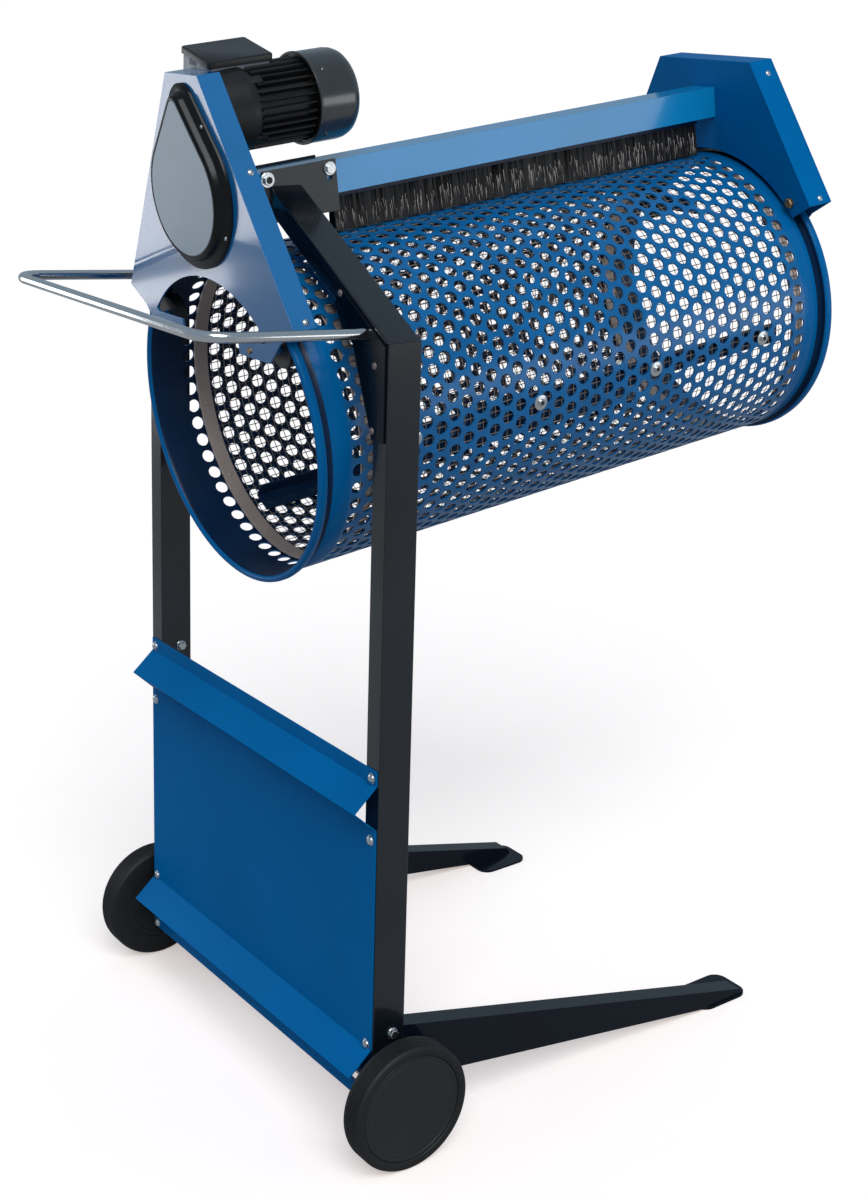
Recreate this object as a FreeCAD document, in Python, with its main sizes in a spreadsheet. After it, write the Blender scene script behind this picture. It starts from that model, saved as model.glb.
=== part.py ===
"""Trommel screen on a wheeled stand, in millimetres.

The screen drum hangs from a tilting beam between two box brackets. The beam
turns on a bolt at the top of an A-shaped portal of two legs, which stands on
two wheels and two long feet. X runs along the drum towards its raised end,
Y across the machine and Z up. The origin is on the floor below the middle of
the whole machine. Pieces of the portal are drawn in the legs' own frame, which
leans a little over the feet about the wheel axle. Pieces of the tilting head
are drawn in the head's own frame: u along the drum, v across and w up from the
drum's axis, with u = 0 at the rim of the low end.
"""
import FreeCAD, Part
import math
import os
import Sketcher

OUT = "parts"

# Driving dimensions: name, value, what it is
DIMENSIONS = (
    ("tube_depth", 50.0, "leg tube along X"),
    ("tube_width", 30.0, "leg tube across the machine"),
    ("leg_span", 622.0, "across the outer faces of the legs"),
    ("lean", 2.0, "lean of the legs over the feet, in degrees"),
    ("leg_foot_height", 62.0, "lower end of a leg above the floor"),
    ("slant_slope", 30.1, "slope of a slanted tube in degrees"),
    ("slant_drop", 7.0, "pivot bolt to the upper edge of a slanted tube"),
    ("wheel_radius", 90.0, "tyre tread radius"),
    ("wheel_width", 38.0, "tyre width"),
    ("wheel_gap", 23.0, "between leg and tyre"),
    ("hub_radius", 58.0, "plain disc of the wheel"),
    ("hub_wall", 4.0, "hub disc wall and its step inside the tyre"),
    ("axle_radius", 10.0, "wheel axle"),
    ("axle_play", 0.08, "radial play of a hub on the axle"),
    ("tyre_shoulder", 5.0, "bevel of the tyre's tread along the axle"),
    ("tyre_bevel", 4.0, "bevel of the tyre's tread towards the axle"),
    ("hub_boss_wall", 12.0, "wall of the hub's boss round the axle"),
    ("hub_boss_reach", 8.0, "how far the boss stands out towards the leg"),
    ("foot_reach", 683.0, "leg centre to the tip of a foot"),
    ("foot_root_top", 178.0, "top of a foot at the leg"),
    ("foot_root_bottom", 95.0, "underside of a foot at the leg"),
    ("foot_sheet", 2.5, "sheet of the channel that a foot is folded from"),
    ("foot_nose", 9.0, "bevelled nose of that channel"),
    ("sole_length", 96.0, "sole plate under a foot's tip"),
    ("sole_width", 72.0, "sole plate across the machine"),
    ("sole_lap", 3.0, "sole plate beyond the leg's outer face"),
    ("sole_round", 20.0, "corner radius of the sole plate"),
    ("sole_sheet", 4.0, "sole plate thickness"),
    ("panel_sheet", 2.0, "front panel sheet"),
    ("panel_margin", 3.0, "panel edge inside the legs' outer faces"),
    ("panel_top", 556.0, "upper edge of the front panel"),
    ("panel_bottom", 70.0, "lower edge of the front panel"),
    ("upper_rib_height", 504.5, "tip of the upper folded rib"),
    ("lower_rib_height", 124.0, "tip of the lower folded rib"),
    ("rib_half", 31.0, "half of the height of a folded rib"),
    ("rib_depth", 34.0, "how far a folded rib stands out"),
    ("knee_plate_sheet", 3.0, "gusset plate at the knee"),
    ("knee_plate_edge", 4.0, "that plate's edge inside the tubes' outer faces"),
    ("knee_plate_down", 122.0, "that plate along the leg"),
    ("knee_plate_along", 118.0, "that plate along the slanted tube"),
    ("knee_web_side", 76.0, "inner corner of its web from the leg's outer face"),
    ("knee_web_drop", 12.0, "that corner below the knee"),
    ("knee_web_length", 24.0, "edge of the web along the slanted tube"),
    ("handle_radius", 8.0, "push handle tube radius"),
    ("handle_reach", 232.0, "leg face to the middle of the handle's cross bar"),
    ("handle_inset", 41.0, "leg's outer face to the middle of a handle arm"),
    ("handle_lift", 6.0, "knee to the middle of a handle arm"),
    ("handle_rise", 14.0, "rise of the handle from the leg to its cross bar"),
    ("handle_bend", 40.0, "bend radius of the handle"),
    ("tilt", 5.31, "drum tilt in degrees, low end at the handle"),
    ("tilt_travel", 7.0, "how far the clamp slots let the drum swing back, in degrees"),
    ("head_offset", -72.0, "leg centre to the rim of the drum's low end"),
    ("head_height", 966.0, "drum axis above the floor at that rim"),
    ("drum_length", 928.0, "rim to rim"),
    ("shell_radius", 222.0, "outer radius of the screen shell"),
    ("rim_stand", 7.0, "how far a rolled rim stands out of the shell"),
    ("shell_sheet", 2.5, "screen shell sheet"),
    ("collar_length", 52.0, "plain collar at each drum end"),
    ("rim_length", 14.0, "width of a rolled rim"),
    ("rim_round", 3.0, "rounding of a rolled rim"),
    ("hoop_width", 22.0, "flat hoop that holds the wire lining"),
    ("hoop_sheet", 3.0, "hoop sheet"),
    ("hoop_inset", 84.0, "rim to hoop"),
    ("bar_width", 30.0, "lifter bar base"),
    ("bar_height", 24.0, "lifter bar web"),
    ("bar_turn", 94.5, "first bar from the top of the drum, in degrees"),
    ("bar_sheet", 3.0, "lifter bar sheet"),
    ("hole_across", 64.0, "opening of the coarse perforation, corner to corner"),
    ("beam_size", 45.0, "square beam"),
    ("beam_lift", 80.0, "shell to beam middle"),
    ("pivot_u", 85.0, "pivot bolt along the head"),
    ("pivot_lift", 13.5, "pivot bolt above the beam's middle"),
    ("clamp_reach", 97.0, "pivot bolt to clamp bolt"),
    ("bolt_radius", 4.0, "pivot and clamp bolts"),
    ("bolt_play", 0.5, "between the clamp bolt and the sides of its slot"),
    ("bolt_head", 13.0, "bolt head across its flats"),
    ("bolt_head_height", 5.5, "bolt head height"),
    ("pivot_play", 0.5, "between beam and pivot plate"),
    ("pivot_sheet", 4.0, "pivot plate"),
    ("pivot_fore", 78.0, "lower-end edge of a pivot plate along the head"),
    ("pivot_aft", 193.0, "far edge of a pivot plate along the head"),
    ("pivot_crest", 25.0, "upper edge of a pivot plate above the beam's middle"),
    ("pivot_hang", 45.0, "lower edge of a pivot plate below the beam's middle"),
    ("pivot_corner", 13.0, "cut corner of a pivot plate"),
    ("bracket_sheet", 3.0, "sheet of the box brackets"),
    ("bracket_reach", 68.0, "guide roller to the widest corner of a bracket, across"),
    ("bracket_rise", 36.66, "that corner above the guide roller"),
    ("bracket_foot", 62.0, "lower edge of a bracket's side, square to that side"),
    ("bracket_slope", 30.0, "lean of a bracket's sides in degrees"),
    ("near_crest", 243.0, "shell to the top of the bracket at the low end"),
    ("far_crest", 144.0, "shell to the top of the bracket at the raised end"),
    ("outer_gap", 8.0, "between a rim and the bracket plate outside it"),
    ("near_depth", 34.0, "depth of the bracket at the low end"),
    ("far_depth", 46.0, "depth of the bracket at the raised end"),
    ("arch_lap", 22.0, "arch of the plates outside the drum, inside the shell's radius"),
    ("arch_play", 7.0, "between the shell and the arch of the plates over it"),
    ("tab_reach", 76.0, "guide roller to the inner end of its tab"),
    ("tab_drop", 15.34, "guide roller axis to the lower edge of its tab"),
    ("tab_height", 24.0, "height of a roller tab"),
    ("tab_lug", 28.0, "how far a tab reaches past its roller, to lap the bracket"),
    ("tab_lap", 42.0, "top of that lap above the tab's lower edge"),
    ("roller_radius", 25.0, "guide roller"),
    ("roller_width", 18.0, "guide roller width"),
    ("roller_inset", 6.0, "rim to guide roller along the drum"),
    ("roller_turn", 50.57, "guide roller from the top of the drum, in degrees"),
    ("roller_pin", 5.0, "guide roller pin radius"),
    ("pin_end", 3.0, "how far a pin stands out of its roller"),
    ("seat_gap", 0.2, "between the shell's flats and what is screwed inside them"),
    ("contact_gap", 0.3, "left between surfaces that roll on each other"),
    ("drive_radius", 82.7, "drive wheel radius"),
    ("drive_width", 10.0, "drive wheel width"),
    ("drive_shaft", 8.0, "drive wheel shaft radius"),
    ("shaft_play", 1.0, "between that shaft's ends and the bracket's plates"),
    ("cover_low_radius", 100.0, "lower end of the drive cover"),
    ("cover_top_radius", 32.0, "upper end of the drive cover"),
    ("cover_rise", 110.0, "upper end's centre above the drive wheel's axis"),
    ("cover_depth", 18.0, "how far the drive cover stands out"),
    ("cover_draft", 20.0, "how far the cover's face lies inside its foot"),
    ("motor_rise", 98.0, "motor axis above the drive wheel's axis"),
    ("motor_radius", 48.0, "motor body under its fins"),
    ("fin_radius", 56.0, "motor over its fins"),
    ("fin_sheet", 3.0, "motor fin"),
    ("fin_root", 4.0, "how deep a fin runs into the motor body"),
    ("motor_flange_length", 50.0, "plain end of the motor"),
    ("motor_fin_length", 84.0, "finned part of the motor"),
    ("cowl_radius", 62.0, "fan cowl"),
    ("cowl_length", 68.0, "fan cowl length"),
    ("box_length", 98.0, "terminal box along the motor"),
    ("box_width", 75.0, "terminal box across the motor"),
    ("box_rise", 67.0, "terminal box lid above the motor axis, before the box leans"),
    ("box_height", 45.0, "terminal box height"),
    ("box_side", 38.5, "terminal box middle from the motor's, before the box leans"),
    ("box_lean", 15.0, "terminal box lean about the motor axis, in degrees"),
    ("brush_start", 196.0, "brush from the low end's rim"),
    ("brush_end_gap", 62.0, "brush from the raised end's rim"),
    ("brush_width", 16.0, "brush across"),
    ("brush_gap", 1.0, "bristle tips above the drum"),
    ("brush_back", 8.0, "brush holder height"),
    ("brush_rail", 2.0, "brush holder beyond each side of the bristles"),
)

COUNTS = {"hole_columns": 18, "hole_rows": 8, "tube_sides": 16, "fins": 20, "bars": 3}


class Size:
    """A number that also knows the spreadsheet expression it comes from."""

    def __init__(self, value, text):
        self.value = float(value)
        self.text = text

    def __add__(self, other):
        other = size_of(other)
        return Size(self.value + other.value, f"({self.text} + {other.text})")

    def __sub__(self, other):
        other = size_of(other)
        return Size(self.value - other.value, f"({self.text} - {other.text})")

    def __mul__(self, other):
        other = size_of(other)
        return Size(self.value * other.value, f"({self.text} * {other.text})")

    def __truediv__(self, other):
        other = size_of(other)
        return Size(self.value / other.value, f"({self.text} / {other.text})")

    def __neg__(self):
        return Size(-self.value, f"(0 - {self.text})")

    def __radd__(self, other):
        return size_of(other) + self

    def __rsub__(self, other):
        return size_of(other) - self

    def __rmul__(self, other):
        return size_of(other) * self

    def __float__(self):
        return self.value


def size_of(item):
    """Turn a plain number into a Size."""
    if isinstance(item, Size):
        return item
    return Size(item, repr(float(item)))


def sine(angle):
    return Size(math.sin(math.radians(angle.value)), f"sin({angle.text} * 1deg)")


def cosine(angle):
    return Size(math.cos(math.radians(angle.value)), f"cos({angle.text} * 1deg)")


def tangent(angle):
    return sine(angle) / cosine(angle)


def root(area):
    return Size(math.sqrt(area.value), f"sqrt({area.text})")


doc = FreeCAD.newDocument("trommel_screen")
sheet = doc.addObject("Spreadsheet::Sheet", "Sizes")


class Table:
    """The driving dimensions by name."""


D = Table()
for row, (name, value, meaning) in enumerate(DIMENSIONS, start=1):
    sheet.set(f"A{row}", str(value))
    sheet.setAlias(f"A{row}", name)
    sheet.set(f"B{row}", meaning)
    setattr(D, name, Size(value, f"Sizes.{name}"))
doc.recompute()


def leaned(x, z):
    """Place from the legs' centre on the floor of a point given in the legs' own frame."""
    up = z - D.wheel_radius
    return (x * cosine(D.lean) + up * sine(D.lean),
            D.wheel_radius - x * sine(D.lean) + up * cosine(D.lean))


# Places that follow from the driving dimensions
half_depth = D.tube_depth / 2
outer_y = D.leg_span / 2
inner_y = outer_y - D.tube_width
slant_foot_y = D.beam_size / 2 + D.pivot_play + D.pivot_sheet
rim_radius = D.shell_radius + D.rim_stand
beam_axis = D.shell_radius + D.beam_lift
pivot_w = beam_axis + D.pivot_lift
pivot_z = (D.head_height + D.pivot_u * sine(D.tilt + D.lean)
           + pivot_w * cosine(D.tilt + D.lean))
slant_top = pivot_z - D.slant_drop
knee_height = slant_top - (outer_y - slant_foot_y) * tangent(D.slant_slope)
handle_y = outer_y - D.handle_inset
handle_height = knee_height + D.handle_lift
head_foot, head_z = leaned(D.head_offset, D.head_height)
rim_low_x = (head_foot + D.drum_length * cosine(D.tilt)
             + (rim_radius - D.rim_round) * sine(D.tilt))
handle_bar = leaned(-(half_depth + D.handle_reach), handle_height + D.handle_rise)
machine_x = -(rim_low_x + handle_bar[0] - D.handle_radius) / 2
head_x = machine_x + head_foot
near_plate_u = -(D.outer_gap + D.bracket_sheet)
near_back_u = near_plate_u + D.near_depth
far_plate_u = D.drum_length + D.outer_gap
far_inner_u = far_plate_u + D.bracket_sheet - D.far_depth
shell_inner = D.shell_radius - D.shell_sheet
lining_radius = shell_inner * math.cos(math.pi / COUNTS["hole_columns"]) - D.seat_gap
bar_base = root(lining_radius * lining_radius - D.bar_width * D.bar_width / 4)
roller_orbit = shell_inner - D.contact_gap - D.roller_radius
roller_side = roller_orbit * sine(D.roller_turn)
roller_w = roller_orbit * cosine(D.roller_turn)
corner_v = roller_side + D.bracket_reach
corner_w = roller_w + D.bracket_rise
near_top = D.shell_radius + D.near_crest
far_top = D.shell_radius + D.far_crest
outer_arch = D.shell_radius - D.arch_lap
inner_arch = D.shell_radius + D.arch_play
pin_length = D.bracket_sheet + D.outer_gap + D.roller_inset + D.roller_width + D.pin_end
drive_axis = rim_radius + D.contact_gap + D.drive_radius
motor_axis = drive_axis + D.motor_rise

pieces = []


def keep(item, label):
    """Label a finished piece and note it for export."""
    item.Label = label
    pieces.append(item)
    return item


def bind(item, **sizes):
    """Set properties to sizes, as numbers and as expressions."""
    for prop, size in sizes.items():
        item.setExpression(prop.replace("__", "."), size_of(size).text)


def put(item, x, y, z, axis=None, angle=None):
    """Place an object by sizes, turned about an axis."""
    if axis is not None:
        turn = FreeCAD.Rotation(FreeCAD.Vector(*axis), float(size_of(angle)))
        item.Placement = FreeCAD.Placement(FreeCAD.Vector(), turn)
    bind(item, Placement__Base__x=x, Placement__Base__y=y, Placement__Base__z=z)
    if isinstance(angle, Size):
        bind(item, Placement__Rotation__Angle=angle)


def put_on_head(item):
    """Give an object drawn in the head's frame its place on the machine."""
    put(item, head_x, 0, head_z, axis=(0, -1, 0), angle=D.tilt)


def put_on_stand(item):
    """Give an object drawn in the legs' frame its place, leaned about the wheel axle."""
    put(item, machine_x - D.wheel_radius * sine(D.lean), 0,
        D.wheel_radius - D.wheel_radius * cosine(D.lean), axis=(0, 1, 0), angle=D.lean)


def put_on_floor(item):
    """Give an object drawn from the legs' centre its place, with no lean."""
    put(item, machine_x, 0, 0)


def new_sketch(body, name, plane, start):
    """Sketch on one of the body's own planes, moved along its normal."""
    sketch = body.newObject("Sketcher::SketchObject", name)
    side = next(f for f in body.Origin.OriginFeatures if f.Role == plane + "_Plane")
    sketch.AttachmentSupport = [(side, "")]
    sketch.MapMode = "FlatFace"
    bind(sketch, AttachmentOffset__Base__z=start)
    return sketch


def pin_point(sketch, edge, end, x, y):
    """Fix one point of a sketch by two driven distances from the origin."""
    for kind, size in (("DistanceX", size_of(x)), ("DistanceY", size_of(y))):
        index = sketch.addConstraint(Sketcher.Constraint(kind, -1, 1, edge, end, size.value))
        sketch.setExpression(f"Constraints[{index}]", size.text)


def draw_outline(sketch, corners):
    """Closed polygon through corners given as pairs of sizes."""
    points = [FreeCAD.Vector(float(size_of(x)), float(size_of(y)), 0) for x, y in corners]
    first = sketch.GeometryCount
    count = len(corners)
    for i in range(count):
        sketch.addGeometry(Part.LineSegment(points[i], points[(i + 1) % count]), False)
    for i in range(count):
        sketch.addConstraint(
            Sketcher.Constraint("Coincident", first + i, 2, first + (i + 1) % count, 1))
    for i, (x, y) in enumerate(corners):
        pin_point(sketch, first + i, 1, x, y)


def draw_circle(sketch, x, y, radius):
    """Circle with a driven centre and radius."""
    centre = FreeCAD.Vector(float(size_of(x)), float(size_of(y)), 0)
    radius = size_of(radius)
    edge = sketch.addGeometry(Part.Circle(centre, FreeCAD.Vector(0, 0, 1), radius.value), False)
    pin_point(sketch, edge, 3, x, y)
    index = sketch.addConstraint(Sketcher.Constraint("Radius", edge, radius.value))
    sketch.setExpression(f"Constraints[{index}]", radius.text)


def plate(label, plane, corners, start, length):
    """Body padded from an outline; start and length run along the plane's normal."""
    body = doc.addObject("PartDesign::Body", label)
    sketch = new_sketch(body, label + "_outline", plane, start)
    draw_outline(sketch, corners)
    pad = body.newObject("PartDesign::Pad", label + "_pad")
    pad.Profile = sketch
    bind(pad, Length=length)
    sketch.Visibility = False
    doc.recompute()
    return keep(body, label)


def add_plate(body, name, plane, corners, start, length):
    """Another padded outline on the same body."""
    sketch = new_sketch(body, name + "_outline", plane, start)
    draw_outline(sketch, corners)
    pad = body.newObject("PartDesign::Pad", name)
    pad.Profile = sketch
    bind(pad, Length=length)
    doc.recompute()


def add_disc(body, name, plane, x, y, radius, start, length):
    """Padded circle on the same body."""
    sketch = new_sketch(body, name + "_circle", plane, start)
    draw_circle(sketch, x, y, radius)
    pad = body.newObject("PartDesign::Pad", name)
    pad.Profile = sketch
    bind(pad, Length=length)
    doc.recompute()


def cut(body, name, sketch, length):
    """Pocket that runs along the sketch's normal and has to take something away."""
    before = body.Shape.Volume
    pocket = body.newObject("PartDesign::Pocket", name)
    pocket.Profile = sketch
    pocket.Reversed = True
    bind(pocket, Length=length)
    doc.recompute()
    if not body.Shape.Volume < before:
        raise ValueError(f"{name} cuts nothing")


def cut_outline(body, name, plane, corners, start, length):
    sketch = new_sketch(body, name + "_outline", plane, start)
    draw_outline(sketch, corners)
    cut(body, name, sketch, length)


def cut_circle(body, name, plane, x, y, radius, start, length):
    sketch = new_sketch(body, name + "_circle", plane, start)
    draw_circle(sketch, x, y, radius)
    cut(body, name, sketch, length)


def turned(label, plane, corners, axis):
    """Body turned from a half profile about one of the sketch's own axes."""
    body = doc.addObject("PartDesign::Body", label)
    sketch = new_sketch(body, label + "_profile", plane, 0)
    draw_outline(sketch, corners)
    turn = body.newObject("PartDesign::Revolution", label + "_turn")
    turn.Profile = sketch
    turn.ReferenceAxis = (sketch, [axis])
    turn.Angle = 360.0
    doc.recompute()
    return keep(body, label)


def mirrored(corners):
    """The same outline on the other side of the middle plane."""
    return [(-x, y) for x, y in reversed(corners)]


def round_edges(body, name, direction, radius):
    """Fillet the edges of a prism that run along one direction."""
    along = FreeCAD.Vector(*direction)
    base = body.Tip
    names = []
    for number, edge in enumerate(base.Shape.Edges, start=1):
        run = edge.Vertexes[-1].Point - edge.Vertexes[0].Point
        if abs(run.normalize().dot(along)) > 0.999:
            names.append(f"Edge{number}")
    fillet = body.newObject("PartDesign::Fillet", name)
    fillet.Base = (base, names)
    bind(fillet, Radius=radius)
    doc.recompute()


def make_stand():
    """Legs, slanted tubes, plates at the knees and feet."""
    drop = D.tube_width / cosine(D.slant_slope)
    knee_in = knee_height + D.tube_width * tangent(D.slant_slope) - drop
    leg = [(-outer_y, D.leg_foot_height), (-inner_y, D.leg_foot_height), (-inner_y, knee_in),
           (-outer_y, knee_height)]
    slant = [(-outer_y, knee_height), (-inner_y, knee_in), (-slant_foot_y, slant_top - drop),
             (-slant_foot_y, slant_top)]
    for side, flip in (("near", list), ("far", mirrored)):
        body = plate("leg_" + side, "YZ", flip(leg), -half_depth, D.tube_depth)
        sign = -1 if side == "near" else 1
        cut_circle(body, "axle_bore_" + side, "XZ", 0, D.wheel_radius,
                   D.axle_radius + D.axle_play, inner_y if sign < 0 else -outer_y, D.tube_width)
        put_on_stand(body)
        body = plate("slant_" + side, "YZ", flip(slant), -half_depth, D.tube_depth)
        put_on_stand(body)
        body = plate("knee_plate_" + side, "YZ", flip(knee_outline()),
                     -(half_depth + D.knee_plate_sheet), D.knee_plate_sheet)
        put_on_stand(body)
        make_foot(side, sign)


def knee_outline():
    """Gusset over the near knee: along the leg, along the slanted tube and a web between."""
    across = cosine(D.slant_slope)
    up = sine(D.slant_slope)
    side = -outer_y + D.knee_plate_edge
    top = knee_height - D.knee_plate_edge
    end = (side + D.knee_plate_along * across, top + D.knee_plate_along * up)
    width = D.tube_width - D.knee_plate_edge
    web = (-outer_y + D.knee_web_side, knee_height - D.knee_web_drop)
    return [(side, top), (side, top - D.knee_plate_down), (side + width, top - D.knee_plate_down),
            web, (web[0] + D.knee_web_length * across, web[1] + D.knee_web_length * up),
            (end[0] + width * up, end[1] - width * across), end]


def make_foot(side, sign):
    """Foot folded as a tapered channel on a sole plate; sign is -1 on the near side."""
    middle = D.foot_reach - D.sole_length / 2
    rear = middle - D.sole_length / 2
    edge = outer_y + D.sole_lap
    sole = [(rear, sign * edge), (D.foot_reach, sign * edge),
            (D.foot_reach, sign * (edge - D.sole_width)), (rear, sign * (edge - D.sole_width))]
    body = plate("foot_" + side, "XY", sole, 0, D.sole_sheet)
    round_edges(body, "sole_corners_" + side, (0, 0, 1), D.sole_round)
    start = inner_y if sign < 0 else -outer_y
    nose = D.foot_reach - D.foot_nose
    crown = D.sole_sheet + D.foot_nose
    channel = [leaned(half_depth, D.foot_root_bottom), (rear, D.sole_sheet),
               (nose, D.sole_sheet), (nose - D.foot_nose, crown),
               leaned(half_depth, D.foot_root_top)]
    add_plate(body, "foot_channel_" + side, "XZ", channel, start, D.tube_width)
    hollow = [leaned(half_depth, 0), (rear, -D.foot_root_top), (rear, D.sole_sheet),
              (nose - D.foot_nose * 2, crown - D.foot_sheet),
              leaned(half_depth, D.foot_root_top - D.foot_sheet)]
    cut_outline(body, "foot_hollow_" + side, "XZ", hollow, start + D.foot_sheet,
                D.tube_width - D.foot_sheet * 2)
    put_on_floor(body)


def make_pivot_plates():
    """Two plates on the slanted tubes, drawn in the head's frame at its photographed tilt."""
    top = beam_axis + D.pivot_crest
    bottom = beam_axis - D.pivot_hang
    corners = [(D.pivot_fore, bottom + D.pivot_corner), (D.pivot_fore + D.pivot_corner, bottom),
               (D.pivot_aft, bottom), (D.pivot_aft, top), (D.pivot_fore, top)]
    inner = D.beam_size / 2 + D.pivot_play
    for side, start in (("near", inner), ("far", -(inner + D.pivot_sheet))):
        body = plate("pivot_plate_" + side, "XZ", corners, start, D.pivot_sheet)
        cut_circle(body, "pivot_hole_" + side, "XZ", D.pivot_u, pivot_w,
                   D.bolt_radius + D.axle_play, start, D.pivot_sheet)
        make_slot(body, side, start)
        put_on_head(body)


def make_slot(body, side, start):
    """Arc slot for the clamp bolt, down from the drum's parked tilt."""
    reach = D.bolt_radius + D.bolt_play
    sketch = new_sketch(body, "clamp_slot_outline_" + side, "XZ", start)
    centre = FreeCAD.Vector(D.pivot_u.value, pivot_w.value, 0)
    low = math.radians(-D.tilt_travel.value)
    for radius in (D.clamp_reach - reach, D.clamp_reach + reach):
        circle = Part.Circle(centre, FreeCAD.Vector(0, 0, 1), radius.value)
        sketch.addGeometry(Part.ArcOfCircle(circle, low, 0.0), False)
    for number, angle in enumerate((low, 0.0)):
        middle = centre + FreeCAD.Vector(math.cos(angle), math.sin(angle), 0) * D.clamp_reach.value
        circle = Part.Circle(middle, FreeCAD.Vector(0, 0, 1), reach.value)
        if number == 0:
            arc = Part.ArcOfCircle(circle, angle - math.pi, angle)
        else:
            arc = Part.ArcOfCircle(circle, angle, angle + math.pi)
        sketch.addGeometry(arc, False)
    cut(body, "clamp_slot_" + side, sketch, D.pivot_sheet)


def make_bolts():
    """Pivot bolt and clamp bolt through plates and beam, with their heads and nuts."""
    plates = D.beam_size / 2 + D.pivot_play + D.pivot_sheet
    for label, u, reach in (("pivot_bolt", D.pivot_u, plates),
                            ("clamp_bolt", D.pivot_u + D.clamp_reach, plates + D.contact_gap)):
        body = doc.addObject("PartDesign::Body", label)
        length = reach * 2 + D.bolt_head_height * 2
        add_disc(body, label + "_shank", "XZ", u, pivot_w, D.bolt_radius,
                 -(reach + D.bolt_head_height), length)
        for end, start in (("near", reach), ("far", -(reach + D.bolt_head_height))):
            add_plate(body, label + "_head_" + end, "XZ", hexagon(u, pivot_w, D.bolt_head),
                      start, D.bolt_head_height)
        keep(body, label)
        put_on_head(body)


def hexagon(x, y, flats):
    """Six corners round a middle, with two flats upright."""
    half = flats / 2
    tip = flats / math.sqrt(3)
    return [(x + half, y - tip / 2), (x + half, y + tip / 2), (x, y + tip),
            (x - half, y + tip / 2), (x - half, y - tip / 2), (x, y - tip)]


def make_panel():
    """Front panel: one sheet with two folded ribs, bolted to the legs."""
    face = -half_depth
    line = [D.panel_top]
    for middle in (D.upper_rib_height, D.lower_rib_height):
        line += [middle + D.rib_half, middle, middle - D.rib_half]
    line += [D.panel_bottom]
    out = [face, face, face - D.rib_depth, face, face, face - D.rib_depth, face, face]
    front = [(x - D.panel_sheet, z) for x, z in zip(out, line)]
    back = list(zip(out, line))
    width = D.leg_span - D.panel_margin * 2
    body = plate("front_panel", "XZ", front + back[::-1], -(width / 2), width)
    put_on_stand(body)


def make_handle():
    """Push handle: one tube bent twice, its arms cut flush with the knee plates."""
    plate_x = -(half_depth + D.knee_plate_sheet)
    tip_x = -(half_depth + D.handle_reach)
    lift = handle_height + D.handle_rise
    route = [(-half_depth, -handle_y, handle_height), (tip_x, -handle_y, lift),
             (tip_x, handle_y, lift), (-half_depth, handle_y, handle_height)]
    points = [FreeCAD.Vector(*(float(size_of(c)) for c in point)) for point in route]
    tube = bent_tube(points, D.handle_bend.value, D.handle_radius.value)
    stand = Part.makeBox(D.tube_depth.value, D.leg_span.value, lift.value * 2,
                         FreeCAD.Vector(plate_x.value, -outer_y.value, 0))
    body = doc.addObject("Part::Feature", "handle")
    body.Shape = tube.cut(stand)
    put_on_stand(body)
    keep(body, "handle")


def bent_tube(points, bend, radius):
    """Bar along straight runs joined by arcs of one bend radius."""
    solids = []
    start = points[0]
    for before, corner, after in zip(points, points[1:], points[2:]):
        back = (before - corner).normalize()
        ahead = (after - corner).normalize()
        half = back.getAngle(ahead) / 2
        first = corner + back * (bend / math.tan(half))
        last = corner + ahead * (bend / math.tan(half))
        centre = corner + (back + ahead).normalize() * (bend / math.sin(half))
        solids.append(round_run(start, first, radius))
        axis = back.cross(ahead)
        end_face = bar_section(first, back, radius)
        solids.append(end_face.revolve(centre, -axis, 180 - math.degrees(2 * half)))
        start = last
    solids.append(round_run(start, points[-1], radius))
    return solids[0].fuse(solids[1:])


def bar_section(middle, ahead, radius):
    """Many-sided section of a bar, square to its run; its first corner points across."""
    sides = COUNTS["tube_sides"]
    up = FreeCAD.Vector(0, 0, 1)
    side = ahead.cross(up).normalize()
    over = side.cross(ahead).normalize()
    corners = []
    for corner in range(sides + 1):
        angle = 2 * math.pi * corner / sides
        corners.append(middle + side * (radius * math.cos(angle)) + over * (radius * math.sin(angle)))
    return Part.Face(Part.makePolygon(corners))


def round_run(start, end, radius):
    """Straight bar between two points."""
    run = end - start
    return bar_section(start, FreeCAD.Vector(run).normalize(), radius).extrude(run)


def make_wheels():
    """Axle with two wheels: tyre and plain disc hub."""
    bore = D.axle_radius + D.axle_play
    inside = outer_y + D.wheel_gap
    outside = inside + D.wheel_width
    body = doc.addObject("PartDesign::Body", "axle")
    reach = outside - D.hub_wall * 2 - D.contact_gap
    add_disc(body, "axle_rod", "XZ", 0, D.wheel_radius, D.axle_radius, -reach, reach * 2)
    keep(body, "axle")
    put_on_floor(body)
    boss = bore + D.hub_boss_wall
    boss_end = inside - D.hub_boss_reach
    side_r = D.wheel_radius - D.tyre_bevel
    for side, sign in (("near", -1), ("far", 1)):
        tyre = [(D.hub_radius, inside), (side_r, inside),
                (D.wheel_radius, inside + D.tyre_shoulder),
                (D.wheel_radius, outside - D.tyre_shoulder), (side_r, outside),
                (D.hub_radius, outside)]
        hub = [(bore, boss_end), (boss, boss_end), (boss, inside + D.hub_wall),
               (D.hub_radius, inside + D.hub_wall), (D.hub_radius, outside - D.hub_wall),
               (0, outside - D.hub_wall), (0, outside - D.hub_wall * 2),
               (bore, outside - D.hub_wall * 2)]
        for label, profile in (("tyre_", tyre), ("hub_", hub)):
            body = turned(label + side, "XY", [(r, sign * y) for r, y in profile], "V_Axis")
            put(body, machine_x, 0, D.wheel_radius)


def bracket_half(top):
    """Right half of a bracket's outline, from the middle of its top downwards."""
    top_v = corner_v - (top - corner_w) * tangent(D.bracket_slope)
    foot_v = corner_v - cosine(D.bracket_slope) * D.bracket_foot
    foot_w = corner_w - sine(D.bracket_slope) * D.bracket_foot
    return top_v, foot_v, foot_w


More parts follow.
